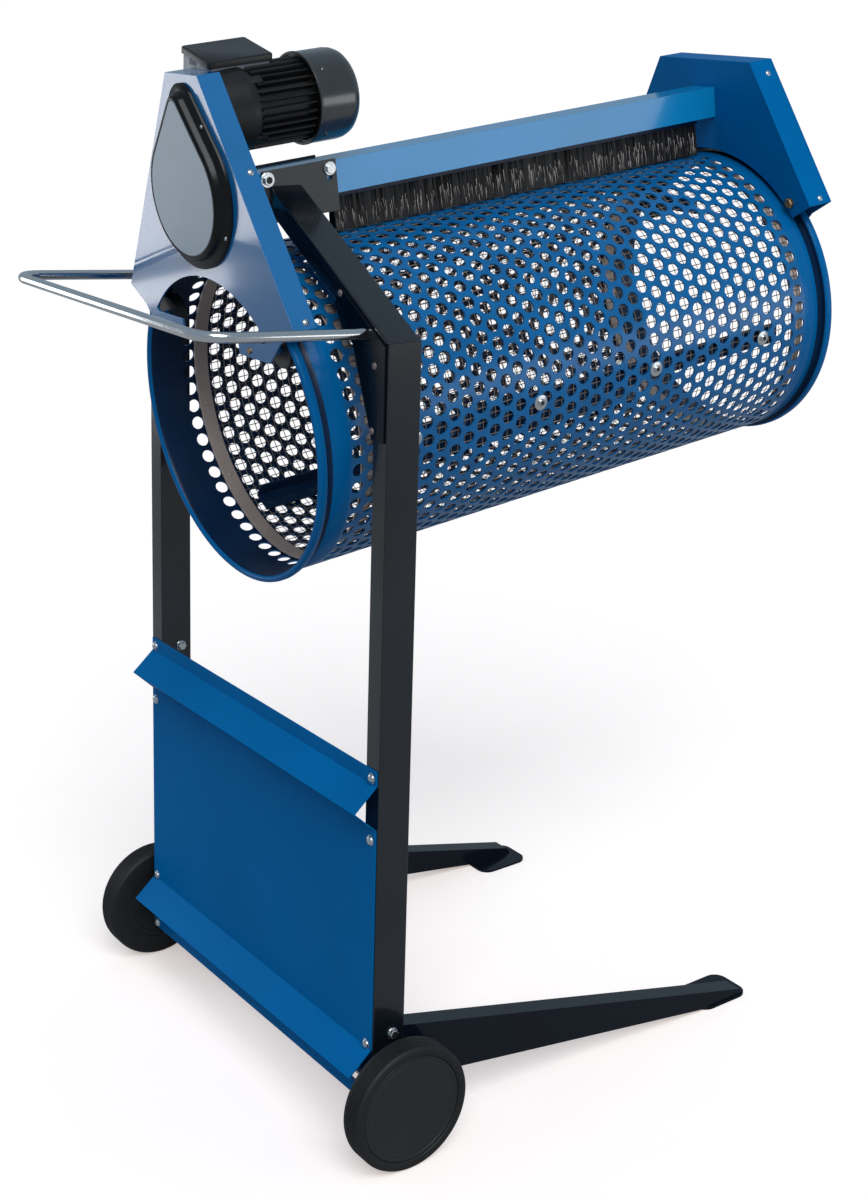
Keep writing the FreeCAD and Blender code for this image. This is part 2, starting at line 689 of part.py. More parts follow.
def bracket_outline(top, inset):
    """Closed bracket outline, moved in by inset at its top and sloping sides."""
    top_v, foot_v, foot_w = bracket_half(top)
    shift = inset / cosine(D.bracket_slope)
    lift = inset * tangent(D.bracket_slope)
    half = [(top_v - shift + lift, top - inset), (corner_v - shift, corner_w),
            (foot_v - shift, foot_w)]
    return half + mirrored(half)


def make_near_bracket():
    """Housing at the low end: plate outside the rim with a flange all round, and a back plate."""
    body = plate("near_bracket", "YZ", bracket_outline(near_top, size_of(0)), near_plate_u,
                 D.near_depth)
    cut_outline(body, "near_hollow", "YZ", bracket_outline_open(near_top, D.bracket_sheet),
                near_plate_u + D.bracket_sheet, D.near_depth)
    cut_circle(body, "near_arch", "YZ", 0, 0, outer_arch, near_plate_u, D.near_depth)
    add_tabs(body, "near", near_plate_u, 1)
    put_on_head(body)
    back = plate("near_back_plate", "YZ", back_outline(near_top), near_back_u - D.bracket_sheet,
                 D.bracket_sheet)
    cut_circle(back, "near_back_arch", "YZ", 0, 0, inner_arch, near_back_u - D.bracket_sheet,
               D.bracket_sheet)
    put_on_head(back)


def bracket_outline_open(top, inset):
    """Hollow of a bracket: inside its flange and out through its foot."""
    top_v, foot_v, foot_w = bracket_half(top)
    shift = inset / cosine(D.bracket_slope)
    lift = inset * tangent(D.bracket_slope)
    below = foot_w - D.bracket_foot
    low_v = corner_v - shift + (corner_w - below) * tangent(D.bracket_slope)
    half = [(top_v - shift + lift, top - inset), (low_v, below)]
    return half + mirrored(half)


def back_outline(top):
    """Plate that fits inside a bracket's flange."""
    return bracket_outline(top, D.bracket_sheet + D.seat_gap)


def add_tabs(body, side, start, inward):
    """Tabs at the feet of an outer plate, each with the pin of a guide roller.

    inward is 1 where the drum lies towards higher u and -1 at the other end.
    """
    low = roller_w - D.tab_drop
    inner = roller_side - D.tab_reach
    tab = [(inner, low), (roller_side, low), (roller_side + D.tab_lug, low + D.tab_lug),
           (roller_side + D.tab_lug / 2, low + D.tab_lap),
           (roller_side - D.tab_lug / 3, low + D.tab_height), (inner, low + D.tab_height)]
    pin_start = start if inward > 0 else start + D.bracket_sheet - pin_length
    for hand, sign, corners in (("near", -1, mirrored(tab)), ("far", 1, tab)):
        add_plate(body, f"{side}_tab_{hand}", "YZ", corners, start, D.bracket_sheet)
        add_disc(body, f"{side}_pin_{hand}", "YZ", sign * roller_side, roller_w, D.roller_pin,
                 pin_start, pin_length)


def make_far_bracket():
    """Housing at the raised end: plate over the drum with a flange, and an end plate."""
    body = plate("far_bracket", "YZ", bracket_outline(far_top, size_of(0)), far_inner_u,
                 D.far_depth - D.bracket_sheet)
    cut_outline(body, "far_hollow", "YZ", bracket_outline_open(far_top, D.bracket_sheet),
                far_inner_u + D.bracket_sheet, D.far_depth)
    cut_circle(body, "far_arch", "YZ", 0, 0, inner_arch, far_inner_u, D.far_depth)
    put_on_head(body)
    cover = plate("far_end_plate", "YZ", bracket_outline(far_top, size_of(0)), far_plate_u,
                  D.bracket_sheet)
    cut_circle(cover, "far_end_arch", "YZ", 0, 0, outer_arch, far_plate_u, D.bracket_sheet)
    add_tabs(cover, "far", far_plate_u, -1)
    put_on_head(cover)


def make_rollers():
    """Four guide rollers inside the rims and the drive wheel on top of the low rim."""
    inset = D.outer_gap + D.roller_inset
    ends = (("near", near_plate_u + D.bracket_sheet + inset),
            ("far", far_plate_u - inset - D.roller_width))
    for end, start in ends:
        for hand, sign in (("near", -1), ("far", 1)):
            label = f"roller_{end}_{hand}"
            body = doc.addObject("PartDesign::Body", label)
            add_disc(body, label + "_disc", "YZ", sign * roller_side, roller_w, D.roller_radius,
                     start, D.roller_width)
            cut_circle(body, label + "_bore", "YZ", sign * roller_side, roller_w,
                       D.roller_pin + D.axle_play, start, D.roller_width)
            keep(body, label)
            put_on_head(body)
    body = doc.addObject("PartDesign::Body", "drive_wheel")
    start = D.rim_length / 2 - D.drive_width / 2
    add_disc(body, "drive_disc", "YZ", 0, drive_axis, D.drive_radius, start, D.drive_width)
    shaft_start = near_plate_u + D.bracket_sheet + D.shaft_play
    shaft_end = near_back_u - D.bracket_sheet - D.shaft_play
    add_disc(body, "drive_shaft", "YZ", 0, drive_axis, D.drive_shaft, shaft_start,
             shaft_end - shaft_start)
    keep(body, "drive_wheel")
    put_on_head(body)


def make_beam():
    """Square beam between the two brackets, on the pivot bolt."""
    half = D.beam_size / 2
    corners = [(-half, beam_axis - half), (half, beam_axis - half),
               (half, beam_axis + half), (-half, beam_axis + half)]
    length = far_inner_u - near_back_u
    body = plate("beam", "YZ", corners, near_back_u, length)
    for name, u in (("beam_pivot_hole", D.pivot_u), ("beam_clamp_hole", D.pivot_u + D.clamp_reach)):
        cut_circle(body, name, "XZ", u, pivot_w, D.bolt_radius + D.axle_play, -half, D.beam_size)
    put_on_head(body)


def make_brush():
    """Brush under the beam: its holder and its bristles as one block."""
    under = beam_axis - D.beam_size / 2
    half = D.brush_width / 2
    length = D.drum_length - D.brush_end_gap - D.brush_start
    rail = half + D.brush_rail
    back = [(-rail, under - D.brush_back), (rail, under - D.brush_back), (rail, under),
            (-rail, under)]
    tips = D.shell_radius + D.brush_gap
    hair = [(-half, tips), (half, tips), (half, under - D.brush_back),
            (-half, under - D.brush_back)]
    put_on_head(plate("brush_holder", "YZ", back, D.brush_start, length))
    put_on_head(plate("brush", "YZ", hair, D.brush_start, length))


def make_drive_cover():
    """Drop-shaped cover of the drive on the front plate, narrow at its top."""
    shape = drop_shape(D.cover_low_radius.value, D.cover_top_radius.value, near_plate_u.value)
    face = drop_shape(D.cover_low_radius.value - D.cover_draft.value,
                      D.cover_top_radius.value - D.cover_draft.value,
                      near_plate_u.value - D.cover_depth.value)
    body = doc.addObject("Part::Feature", "drive_cover")
    body.Shape = Part.makeLoft([shape, face], True, True)
    put_on_head(body)
    keep(body, "drive_cover")


def drop_shape(low, top, u):
    """Wire round two circles of different radius, one above the other, at one u."""
    low_w = drive_axis.value
    top_w = low_w + D.cover_rise.value
    lean = math.asin((low - top) / (top_w - low_w))
    side = FreeCAD.Vector(0, math.cos(lean), math.sin(lean))
    other = FreeCAD.Vector(0, -side.y, side.z)
    low_centre = FreeCAD.Vector(u, 0, low_w)
    top_centre = FreeCAD.Vector(u, 0, top_w)
    down = FreeCAD.Vector(0, 0, -1)
    lower = Part.Arc(low_centre + other * low, low_centre + down * low, low_centre + side * low)
    upper = Part.Arc(top_centre + side * top, top_centre - down * top, top_centre + other * top)
    edges = [lower.toShape(),
             Part.LineSegment(low_centre + side * low, top_centre + side * top).toShape(),
             upper.toShape(),
             Part.LineSegment(top_centre + other * top, low_centre + other * low).toShape()]
    return Part.Wire(edges)


def make_motor():
    """Motor behind the low bracket: body with its ribs, fan cowl and terminal box."""
    body = doc.addObject("Part::Feature", "motor_body")
    start = near_back_u.value
    plain = D.motor_flange_length.value
    finned = D.motor_fin_length.value
    axis = FreeCAD.Vector(1, 0, 0)
    centre = FreeCAD.Vector(start, 0, motor_axis.value)
    solid = Part.makeCylinder(D.fin_radius.value, plain, centre, axis)
    core = Part.makeCylinder(D.motor_radius.value, finned, centre + axis * plain, axis)
    solid = solid.fuse(core)
    fins = []
    root_radius = D.motor_radius.value - D.fin_root.value
    for number in range(COUNTS["fins"]):
        fin = Part.makeBox(finned, D.fin_sheet.value, D.fin_radius.value - root_radius,
                           FreeCAD.Vector(start + plain, -D.fin_sheet.value / 2, root_radius))
        fin.rotate(FreeCAD.Vector(), axis, 360.0 * number / COUNTS["fins"])
        fin.translate(FreeCAD.Vector(0, 0, motor_axis.value))
        fins.append(fin)
    body.Shape = solid.fuse(fins).removeSplitter()
    put_on_head(body)
    keep(body, "motor_body")
    cowl = doc.addObject("PartDesign::Body", "motor_cowl")
    add_disc(cowl, "cowl_disc", "YZ", 0, motor_axis, D.cowl_radius,
             near_back_u + D.motor_flange_length + D.motor_fin_length, D.cowl_length)
    keep(cowl, "motor_cowl")
    put_on_head(cowl)
    box = doc.addObject("Part::Feature", "terminal_box")
    block = Part.makeBox(D.box_length.value, D.box_width.value, D.box_height.value,
                         FreeCAD.Vector(start, D.box_side.value - D.box_width.value / 2,
                                        D.box_rise.value - D.box_height.value))
    round_body = Part.makeCylinder(D.fin_radius.value + D.seat_gap.value, D.box_length.value,
                                   centre, axis)
    block.rotate(FreeCAD.Vector(), axis, D.box_lean.value)
    block.translate(FreeCAD.Vector(0, 0, motor_axis.value))
    box.Shape = block.cut(round_body)
    put_on_head(box)
    keep(box, "terminal_box")


def make_drum():
    """Rims, perforated shell, hoops and lifter bars, turning as one."""
    rim = [(0, shell_inner), (0, rim_radius - D.rim_round), (D.rim_round, rim_radius),
           (D.rim_length - D.rim_round, rim_radius), (D.rim_length, D.shell_radius),
           (D.collar_length, D.shell_radius), (D.collar_length, shell_inner)]
    far = [(D.drum_length - u, r) for u, r in reversed(rim)]
    put_on_head(turned("near_ring", "XZ", rim, "H_Axis"))
    put_on_head(turned("far_ring", "XZ", far, "H_Axis"))
    for label, start in (("hoop_near", D.hoop_inset),
                         ("hoop_far", D.drum_length - D.hoop_inset - D.hoop_width)):
        hoop = doc.addObject("Part::Feature", label)
        flat = lining_radius.value / math.cos(math.pi / COUNTS["hole_columns"])
        hoop.Shape = many_sided_ring(flat, D.hoop_sheet.value, start.value, D.hoop_width.value)
        put_on_head(hoop)
        keep(hoop, label)
    make_shell()
    make_bars()


def make_shell():
    """Screen shell as a many-sided tube with staggered six-sided openings in its flats."""
    columns = COUNTS["hole_columns"]
    rows = COUNTS["hole_rows"]
    outer = D.shell_radius.value
    start = D.collar_length.value
    length = D.drum_length.value - 2 * start
    tube = many_sided_ring(outer, D.shell_sheet.value, start, length)
    pitch = length / (rows + 0.5)
    cutters = []
    for column in range(columns):
        shift = pitch / 2 if column % 2 else 0.0
        for row in range(rows):
            u = start + pitch * (row + 0.5) + shift
            corners = []
            for corner in range(7):
                angle = math.radians(60 * corner)
                corners.append(FreeCAD.Vector(u + D.hole_across.value / 2 * math.cos(angle),
                                              D.hole_across.value / 2 * math.sin(angle),
                                              outer * 0.9))
            prism = Part.Face(Part.makePolygon(corners)).extrude(FreeCAD.Vector(0, 0, outer * 0.2))
            prism.rotate(FreeCAD.Vector(), FreeCAD.Vector(1, 0, 0), 360.0 * column / columns)
            cutters.append(prism)
    body = doc.addObject("Part::Feature", "screen_shell")
    body.Shape = tube.cut(Part.makeCompound(cutters))
    put_on_head(body)
    keep(body, "screen_shell")


def many_sided_ring(radius, sheet_t, start, length):
    """Tube along u whose flats are centred on the hole columns; radius is to its corners."""
    sides = COUNTS["hole_columns"]
    prisms = []
    for reach in (radius, radius - sheet_t / math.cos(math.pi / sides)):
        points = []
        for corner in range(sides + 1):
            angle = 2 * math.pi * (corner + 0.5) / sides
            points.append(FreeCAD.Vector(start, reach * math.sin(angle), reach * math.cos(angle)))
        prisms.append(Part.Face(Part.makePolygon(points)).extrude(FreeCAD.Vector(length, 0, 0)))
    return prisms[0].cut(prisms[1])


def make_bars():
    """Angle bars along the inside of the shell that lift the soil."""
    start = D.hoop_inset.value + D.hoop_width.value
    length = D.drum_length.value - 2 * start
    base = bar_base.value
    for number in range(COUNTS["bars"]):
        width = D.bar_width.value
        sheet_t = D.bar_sheet.value
        bar = Part.makeBox(length, width, sheet_t, FreeCAD.Vector(start, -width / 2, base - sheet_t))
        web = Part.makeBox(length, sheet_t, D.bar_height.value,
                           FreeCAD.Vector(start, -width / 2, base - D.bar_height.value))
        body = doc.addObject("Part::Feature", f"lifter_bar_{number + 1}")
        for solid in (bar, web):
            solid.rotate(FreeCAD.Vector(), FreeCAD.Vector(1, 0, 0),
                         D.bar_turn.value + 360.0 * number / COUNTS["bars"])
        body.Shape = bar.fuse(web)
        put_on_head(body)
        keep(body, f"lifter_bar_{number + 1}")


def check_and_write():
    """Stop on any failed object, then write each piece."""
    doc.recompute()
    for item in doc.Objects:
        if "Invalid" in item.State or "Error" in item.State:
            raise ValueError(f"{item.Label} failed: {item.State}")
    for piece in pieces:
        if piece.Shape.isNull() or not piece.Shape.isValid():
            raise ValueError(f"{piece.Label} has no valid shape")
    os.makedirs(OUT, exist_ok=True)
    for piece in pieces:
        piece.Shape.exportStep(os.path.join(OUT, piece.Label + ".step"))
    print(len(pieces), "pieces written")


make_stand()
make_pivot_plates()
make_bolts()
make_panel()
make_handle()
make_wheels()
make_beam()
make_near_bracket()
make_far_bracket()
make_rollers()
make_brush()
make_drive_cover()
make_motor()
make_drum()
check_and_write()
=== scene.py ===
"""Looks of the trommel screen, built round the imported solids.

Shapes are given in millimetres in one of three frames: the tilting head (u along
the drum from its low rim, v across, w up from the drum's axis), the leaning
portal, and the wheels' axle. Each frame's matrix also turns the millimetres
into metres.
"""

import math
import random

import bmesh
import bpy
from mathutils import Matrix, Vector


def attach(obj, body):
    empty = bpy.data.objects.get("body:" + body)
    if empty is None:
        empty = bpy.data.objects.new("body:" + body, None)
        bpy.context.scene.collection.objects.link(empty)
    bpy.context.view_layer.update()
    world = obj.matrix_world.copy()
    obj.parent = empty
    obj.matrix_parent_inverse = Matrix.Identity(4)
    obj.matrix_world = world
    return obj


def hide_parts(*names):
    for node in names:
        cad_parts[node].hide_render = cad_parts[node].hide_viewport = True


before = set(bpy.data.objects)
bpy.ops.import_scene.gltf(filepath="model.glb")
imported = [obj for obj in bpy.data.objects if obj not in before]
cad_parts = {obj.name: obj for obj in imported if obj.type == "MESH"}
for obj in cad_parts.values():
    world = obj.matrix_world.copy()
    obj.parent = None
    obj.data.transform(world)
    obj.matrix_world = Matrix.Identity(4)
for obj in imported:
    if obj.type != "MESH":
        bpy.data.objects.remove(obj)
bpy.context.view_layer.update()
random.seed(11)

# Places taken from the solids, in millimetres and degrees
LEGS_X = -337.642
HEAD_X = -379.026
HEAD_Z = 967.979
TILT = 5.31
LEAN = 2.0
WHEEL_RADIUS = 90.0
SHELL_OUT = 222.0
SHELL_IN = 219.5
DRUM_LENGTH = 928.0
FAR_FACE = 893.0
MOTOR_AXIS = 410.0

MILLI = Matrix.Scale(0.001, 4)
HEAD = (MILLI @ Matrix.Translation((HEAD_X, 0, HEAD_Z))
        @ Matrix.Rotation(math.radians(-TILT), 4, "Y"))
PORTAL = (MILLI @ Matrix.Translation((LEGS_X, 0, WHEEL_RADIUS))
          @ Matrix.Rotation(math.radians(LEAN), 4, "Y")
          @ Matrix.Translation((0, 0, -WHEEL_RADIUS)))
WHEEL = (MILLI @ Matrix.Translation((LEGS_X, 0, WHEEL_RADIUS))
         @ Matrix.Rotation(math.radians(90), 4, "Z"))


def set_inputs(node, values):
    for key, value in values.items():
        node.inputs[key].default_value = value


def finish_of(name, colour, rough, spread=0.1, patch=7.0, grain=260.0, bump=0.08,
              shine=0.05, stretch=(1, 1, 1), **shader):
    """Procedural material: slow colour patches, fine grain in roughness and bump."""
    made = bpy.data.materials.new(name)
    made.use_nodes = True
    nodes = made.node_tree.nodes
    links = made.node_tree.links
    surface = nodes["Principled BSDF"]
    set_inputs(surface, {key.replace("_", " "): value for key, value in shader.items()})
    place = nodes.new("ShaderNodeTexCoord")
    turn = nodes.new("ShaderNodeMapping")
    set_inputs(turn, {"Scale": stretch})
    links.new(place.outputs["Object"], turn.inputs["Vector"])
    slow = nodes.new("ShaderNodeTexNoise")
    set_inputs(slow, {"Scale": patch, "Detail": 3.0})
    fine = nodes.new("ShaderNodeTexNoise")
    set_inputs(fine, {"Scale": grain, "Detail": 2.0})
    for noise in (slow, fine):
        links.new(turn.outputs["Vector"], noise.inputs["Vector"])
    ramp = nodes.new("ShaderNodeValToRGB")
    ramp.color_ramp.elements[0].position = 0.3
    ramp.color_ramp.elements[1].position = 0.7
    ramp.color_ramp.elements[0].color = [c * (1 - spread) for c in colour] + [1]
    ramp.color_ramp.elements[1].color = [min(1, c * (1 + spread)) for c in colour] + [1]
    links.new(slow.outputs["Fac"], ramp.inputs["Fac"])
    links.new(ramp.outputs["Color"], surface.inputs["Base Color"])
    level = nodes.new("ShaderNodeMapRange")
    set_inputs(level, {"From Min": 0.3, "From Max": 0.7, "To Min": max(0.02, rough - shine),
                       "To Max": rough + shine})
    links.new(fine.outputs["Fac"], level.inputs["Value"])
    links.new(level.outputs["Result"], surface.inputs["Roughness"])
    relief = nodes.new("ShaderNodeBump")
    set_inputs(relief, {"Strength": bump, "Distance": 0.001})
    links.new(fine.outputs["Fac"], relief.inputs["Height"])
    links.new(relief.outputs["Normal"], surface.inputs["Normal"])
    return made


BLUE = finish_of("blue_enamel", (0.002, 0.148, 0.400), 0.20, spread=0.06, bump=0.02,
                 Specular_IOR_Level=0.4, Coat_Weight=1.0, Coat_Roughness=0.07, Coat_IOR=1.6)
# Partly painted light: the beam's blue enamel, made lighter than the other blues to stand in for
# the stronger light on its side
LIT_BEAM_BLUE = finish_of("beam_enamel_painted_light", (0.003, 0.270, 0.600), 0.24, spread=0.06, bump=0.01,
                      Specular_IOR_Level=0.4, Coat_Weight=0.8, Coat_Roughness=0.12, Coat_IOR=1.6)
PANEL_BLUE = finish_of("panel_enamel", (0.0003, 0.140, 0.395), 0.34, spread=0.07, patch=4.0,
                       bump=0.03, Specular_IOR_Level=0.02)
RIM_BLUE = finish_of("rim_enamel", (0.0008, 0.128, 0.365), 0.24, spread=0.06, bump=0.02,
                     Specular_IOR_Level=0.07, Coat_Weight=0.05, Coat_Roughness=0.08)
SCREEN_BLUE = finish_of("screen_enamel", (0.002, 0.125, 0.345), 0.26, spread=0.12, patch=30.0,
                        bump=0.05, Specular_IOR_Level=0.3, Coat_Weight=0.15,
                        Coat_Roughness=0.12)
# Painted shade: the blue enamel darkened to stand in for shade inside the drum, in the rims'
# grooves and on the brush holder
SHADE_BLUE = finish_of("painted_shade_enamel", (0.001, 0.018, 0.060), 0.34, spread=0.15, patch=20.0,
                        bump=0.05, Specular_IOR_Level=0.3)
BLACK = finish_of("frame_enamel", (0.0022, 0.0055, 0.0110), 0.22, spread=0.25, bump=0.03,
                  Specular_IOR_Level=0.16, Coat_Weight=0.22, Coat_Roughness=0.07)
LEG_BLACK = finish_of("leg_enamel", (0.0040, 0.0065, 0.0100), 0.24, spread=0.25, bump=0.03,
                      Specular_IOR_Level=0.4, Coat_Weight=0.7, Coat_Roughness=0.10)
PLATE = finish_of("plate_enamel", (0.050, 0.052, 0.055), 0.36, spread=0.15, bump=0.08,
                  Specular_IOR_Level=0.4)
CAST = finish_of("cast_black", (0.0075, 0.0075, 0.008), 0.40, spread=0.25, grain=700.0, bump=0.25,
                 Specular_IOR_Level=0.45)
COWL = finish_of("cowl_black", (0.010, 0.010, 0.011), 0.26, spread=0.2, grain=900.0, bump=0.10,
                 Coat_Weight=1.0, Coat_Roughness=0.18, Coat_IOR=1.8)
BOX_LID = finish_of("box_lid", (0.008, 0.008, 0.009), 0.30, spread=0.2, grain=900.0, bump=0.12)
# Painted reflection: light grey standing in for the softbox's sheen on the terminal box's black
# case
BOX_PAINTED_SHEEN = finish_of("box_painted_sheen", (0.36, 0.38, 0.41), 0.36, spread=0.08, grain=900.0, bump=0.10)
COVER = finish_of("cover_plastic", (0.0045, 0.0045, 0.005), 0.26, spread=0.15, grain=1200.0,
                  bump=0.05, Specular_IOR_Level=0.28)
COVER_FACE = finish_of("cover_face", (0.370, 0.450, 0.520), 0.36, spread=0.05, grain=1500.0,
                       bump=0.04)
ZINC = finish_of("zinc", (0.66, 0.68, 0.70), 0.26, spread=0.10, grain=500.0, bump=0.08,
                 Metallic=1.0)
BRASS = finish_of("passivated", (0.42, 0.26, 0.12), 0.34, spread=0.2, grain=500.0, bump=0.08,
                  Metallic=0.9)
DULL_HEAD = finish_of("dull_head", (0.22, 0.17, 0.165), 0.42, spread=0.15, grain=500.0,
                      Metallic=0.3)
# Painted shade: near-black standing in for the shade in socket recesses, in a hole and under the
# terminal box's lid
SHADE_DARK = finish_of("painted_shade_dark", (0.02, 0.02, 0.02), 0.5, spread=0.2)
CHROME = finish_of("handle_plating", (0.74, 0.75, 0.76), 0.16, spread=0.05, grain=300.0,
                   bump=0.02, shine=0.04, Metallic=1.0)
HOOP = finish_of("hoop_steel", (0.46, 0.37, 0.335), 0.42, spread=0.15, grain=300.0, bump=0.1,
                 Metallic=0.15)
WIRE = finish_of("wire", (0.30, 0.25, 0.22), 0.34, spread=0.3, patch=60.0, Metallic=0.6)
BAR = finish_of("bar_enamel", (0.003, 0.022, 0.070), 0.26, spread=0.15, bump=0.04,
                Coat_Weight=0.3)
BRISTLE = finish_of("bristle", (0.0085, 0.0065, 0.0055), 0.5, spread=0.3, grain=500.0, bump=0.2,
                    stretch=(1, 1, 0.1))
# Painted highlight: pale strands standing in for glints on the dark bristles
BRISTLE_GLINT = finish_of("bristle_glint", (0.74, 0.68, 0.60), 0.45, spread=0.3)
RUBBER = finish_of("tyre_rubber", (0.0095, 0.0098, 0.011), 0.58, spread=0.25, grain=600.0,
                   bump=0.2, Specular_IOR_Level=0.4)
HUB = finish_of("hub_plastic", (0.0175, 0.0195, 0.0210), 0.46, spread=0.10, grain=900.0,
                bump=0.12, Specular_IOR_Level=0.35)
ROLLER = finish_of("roller_plastic", (0.012, 0.012, 0.013), 0.4, spread=0.15, grain=900.0)


class Build:
    """Gathers shapes into one mesh; faces may use one of several materials."""

    def __init__(self):
        self.points = []
        self.faces = []
        self.uses = []

    def add(self, shape, place=None, use=0):
        points, faces = shape
        first = len(self.points)
        if place is not None:
            points = [place @ Vector(p) for p in points]
        self.points.extend(points)
        self.faces.extend([[first + i for i in face] for face in faces])
        self.uses.extend([use] * len(faces))

    def make(self, name, place, body, slot, *materials, smooth=35.0):
        mesh = bpy.data.meshes.new(name)
        mesh.from_pydata([place @ Vector(p) for p in self.points], [], self.faces)
        for item in materials:
            mesh.materials.append(item)
        mesh.polygons.foreach_set("material_index", self.uses)
        work = bmesh.new()
        work.from_mesh(mesh)
        bmesh.ops.recalc_face_normals(work, faces=work.faces)
        work.to_mesh(mesh)
        work.free()
        mesh.polygons.foreach_set("use_smooth", [True] * len(mesh.polygons))
        mesh.set_sharp_from_angle(angle=math.radians(smooth))
        made = bpy.data.objects.new(name, mesh)
        bpy.context.scene.collection.objects.link(made)
        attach(made, body)
        return made


def round_off(item, width, segments=2):
    """Small rounding of every sharp edge, with flat faces kept flat."""
    bevel = item.modifiers.new("rounding", "BEVEL")
    bevel.width = width / 1000
    bevel.segments = segments
    bevel.limit_method = "ANGLE"
    bevel.angle_limit = math.radians(30)
    normals = item.modifiers.new("normals", "WEIGHTED_NORMAL")
    normals.keep_sharp = False


def dress(node, material, width=0.0):
    """Give a CAD node its material and the look of rounded edges."""
    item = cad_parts[node]
    item.data.materials.clear()
    item.data.materials.append(material)
    if width:
        weld = item.modifiers.new("weld", "WELD")
        weld.merge_threshold = 0.00001
        flat = item.modifiers.new("flat", "DECIMATE")
        flat.decimate_type = "DISSOLVE"
        flat.angle_limit = math.radians(0.5)
        round_off(item, width)


def lathe(profile, segments, closed=True):
    """Turn a profile of (along, radius) about the first axis."""
    points = []
    faces = []
    count = len(profile)
    for turn in range(segments):
        angle = 2 * math.pi * turn / segments
        for along, radius in profile:
            points.append((along, radius * math.sin(angle), radius * math.cos(angle)))
    for turn in range(segments):
        here = turn * count
        there = (turn + 1) % segments * count
        for k in range(count if closed else count - 1):
            after = (k + 1) % count
            faces.append((here + k, there + k, there + after, here + after))
    if not closed:
        for k in (0, count - 1):
            faces.append([turn * count + k for turn in range(segments)])
    return points, faces


def prism(outline, low, high):
    """Outline in the second and third axis, drawn out along the first."""
    count = len(outline)
    points = [(low, a, b) for a, b in outline] + [(high, a, b) for a, b in outline]
    faces = [tuple(range(count)), tuple(range(count, 2 * count))]
    for k in range(count):
        after = (k + 1) % count
        faces.append((k, after, count + after, count + k))
    return points, faces


def stack(rings):
    """Skin over closed rings with the same number of points, with both ends capped."""
    points = [p for ring in rings for p in ring]
    count = len(rings[0])
    faces = [tuple(range(count)), tuple(range(len(points) - count, len(points)))]
    for level in range(len(rings) - 1):
        for k in range(count):
            after = (k + 1) % count
            base = level * count
            faces.append((base + k, base + after, base + count + after, base + count + k))
    return points, faces


def tube(path, radius, sides=20, flat=None):
    """Round tube along a path; flat gives (wide, thin) radii at a point."""
    rings = []
    up = Vector((0, 0, 1))
    for k, point in enumerate(path):
        before = path[max(0, k - 1)]
        after = path[min(len(path) - 1, k + 1)]
        ahead = (Vector(after) - Vector(before)).normalized()
        side = ahead.cross(up).normalized()
        over = side.cross(ahead)
        wide, thin = (flat or {}).get(k, (radius, radius))
        ring = []
        for turn in range(sides):
            angle = 2 * math.pi * turn / sides
            ring.append(tuple(Vector(point) + over * math.cos(angle) * wide
                              + side * math.sin(angle) * thin))
        rings.append(ring)
    return stack(rings)


def aim(place, toward):
    """Matrix that puts a shape drawn along the first axis at a place, facing a direction."""
    turn = Vector(toward).to_track_quat("X", "Z").to_matrix().to_4x4()
    return Matrix.Translation(place) @ turn


def hex_head(flats, height):
    """Hexagon head with a chamfered top."""
    corner = flats / math.sqrt(3)
    rings = []
    for along, reach in ((0, corner), (height * 0.75, corner), (height, corner * 0.82)):
        rings.append([(along, reach * math.sin(math.radians(60 * k + 30)),
                       reach * math.cos(math.radians(60 * k + 30))) for k in range(6)])
    return stack(rings)


def dome_head(radius, height, sides=20):
    """Low button head."""
    profile = [(-0.5, radius)]
    for step in range(7):
        angle = math.radians(15 * step)
        profile.append((height * math.sin(angle), max(0.05, radius * math.cos(angle))))
    return lathe(profile, sides, closed=False)


def washer(radius, thickness, sides=24):
    return lathe([(-0.4, radius), (thickness * 0.7, radius), (thickness, radius * 0.95)],
                 sides, closed=False)


def add_screw(build, place, toward, kind, size, ring=0.0):
    """Hexagon, button or socket screw on a surface; ring is its washer's radius."""
    matrix = aim(place, toward)
    lift = 0.0
    if ring:
        build.add(washer(ring, 1.2), matrix)
        lift = 1.2
    raised = matrix @ Matrix.Translation((lift, 0, 0))
    if kind == "hex":
        build.add(hex_head(size, size * 0.42), raised)
    elif kind == "dome":
        build.add(dome_head(size / 2, size * 0.28), raised)
    elif kind == "socket":
        build.add(lathe([(0, size / 2), (size * 0.22, size / 2), (size * 0.3, size * 0.44),
                         (size * 0.3, size * 0.34)], 20, closed=False), raised)
        # dark hexagon over the socket: painted shade of its recess
        build.add(lathe([(size * 0.2, size * 0.33), (size * 0.31, size * 0.33)], 6,
                        closed=False), raised, use=1)


# Camera at the photograph's place
YAW = math.radians(-35.37)
PITCH = math.radians(15.29)
ROLL = math.radians(-0.13)
PICTURE_WIDTH = 866.0
PICTURE_HEIGHT = 1200.0
FOCAL = 1926.14
CENTRE_ACROSS = 421.05
CENTRE_DOWN = 462.81
SENSOR = 36.0
CAMERA_PLACE = Vector((LEGS_X - 1290.9, -2212.1, 1598.3))
ahead = Vector((-math.sin(YAW) * math.cos(PITCH), math.cos(YAW) * math.cos(PITCH),
                -math.sin(PITCH)))
right = Vector((math.cos(YAW), math.sin(YAW), 0))
above = right.cross(ahead)
side_axis = right * math.cos(ROLL) + above * math.sin(ROLL)
up_axis = above * math.cos(ROLL) - right * math.sin(ROLL)
camera = bpy.data.objects.new("camera", bpy.data.cameras.new("camera"))
bpy.context.scene.collection.objects.link(camera)
basis = Matrix((side_axis, up_axis, -ahead)).transposed().to_4x4()
camera.matrix_world = Matrix.Translation(CAMERA_PLACE / 1000) @ basis
camera.data.sensor_width = SENSOR
camera.data.lens = FOCAL / PICTURE_HEIGHT * SENSOR
camera.data.shift_x = (PICTURE_WIDTH / 2 - CENTRE_ACROSS) / PICTURE_HEIGHT
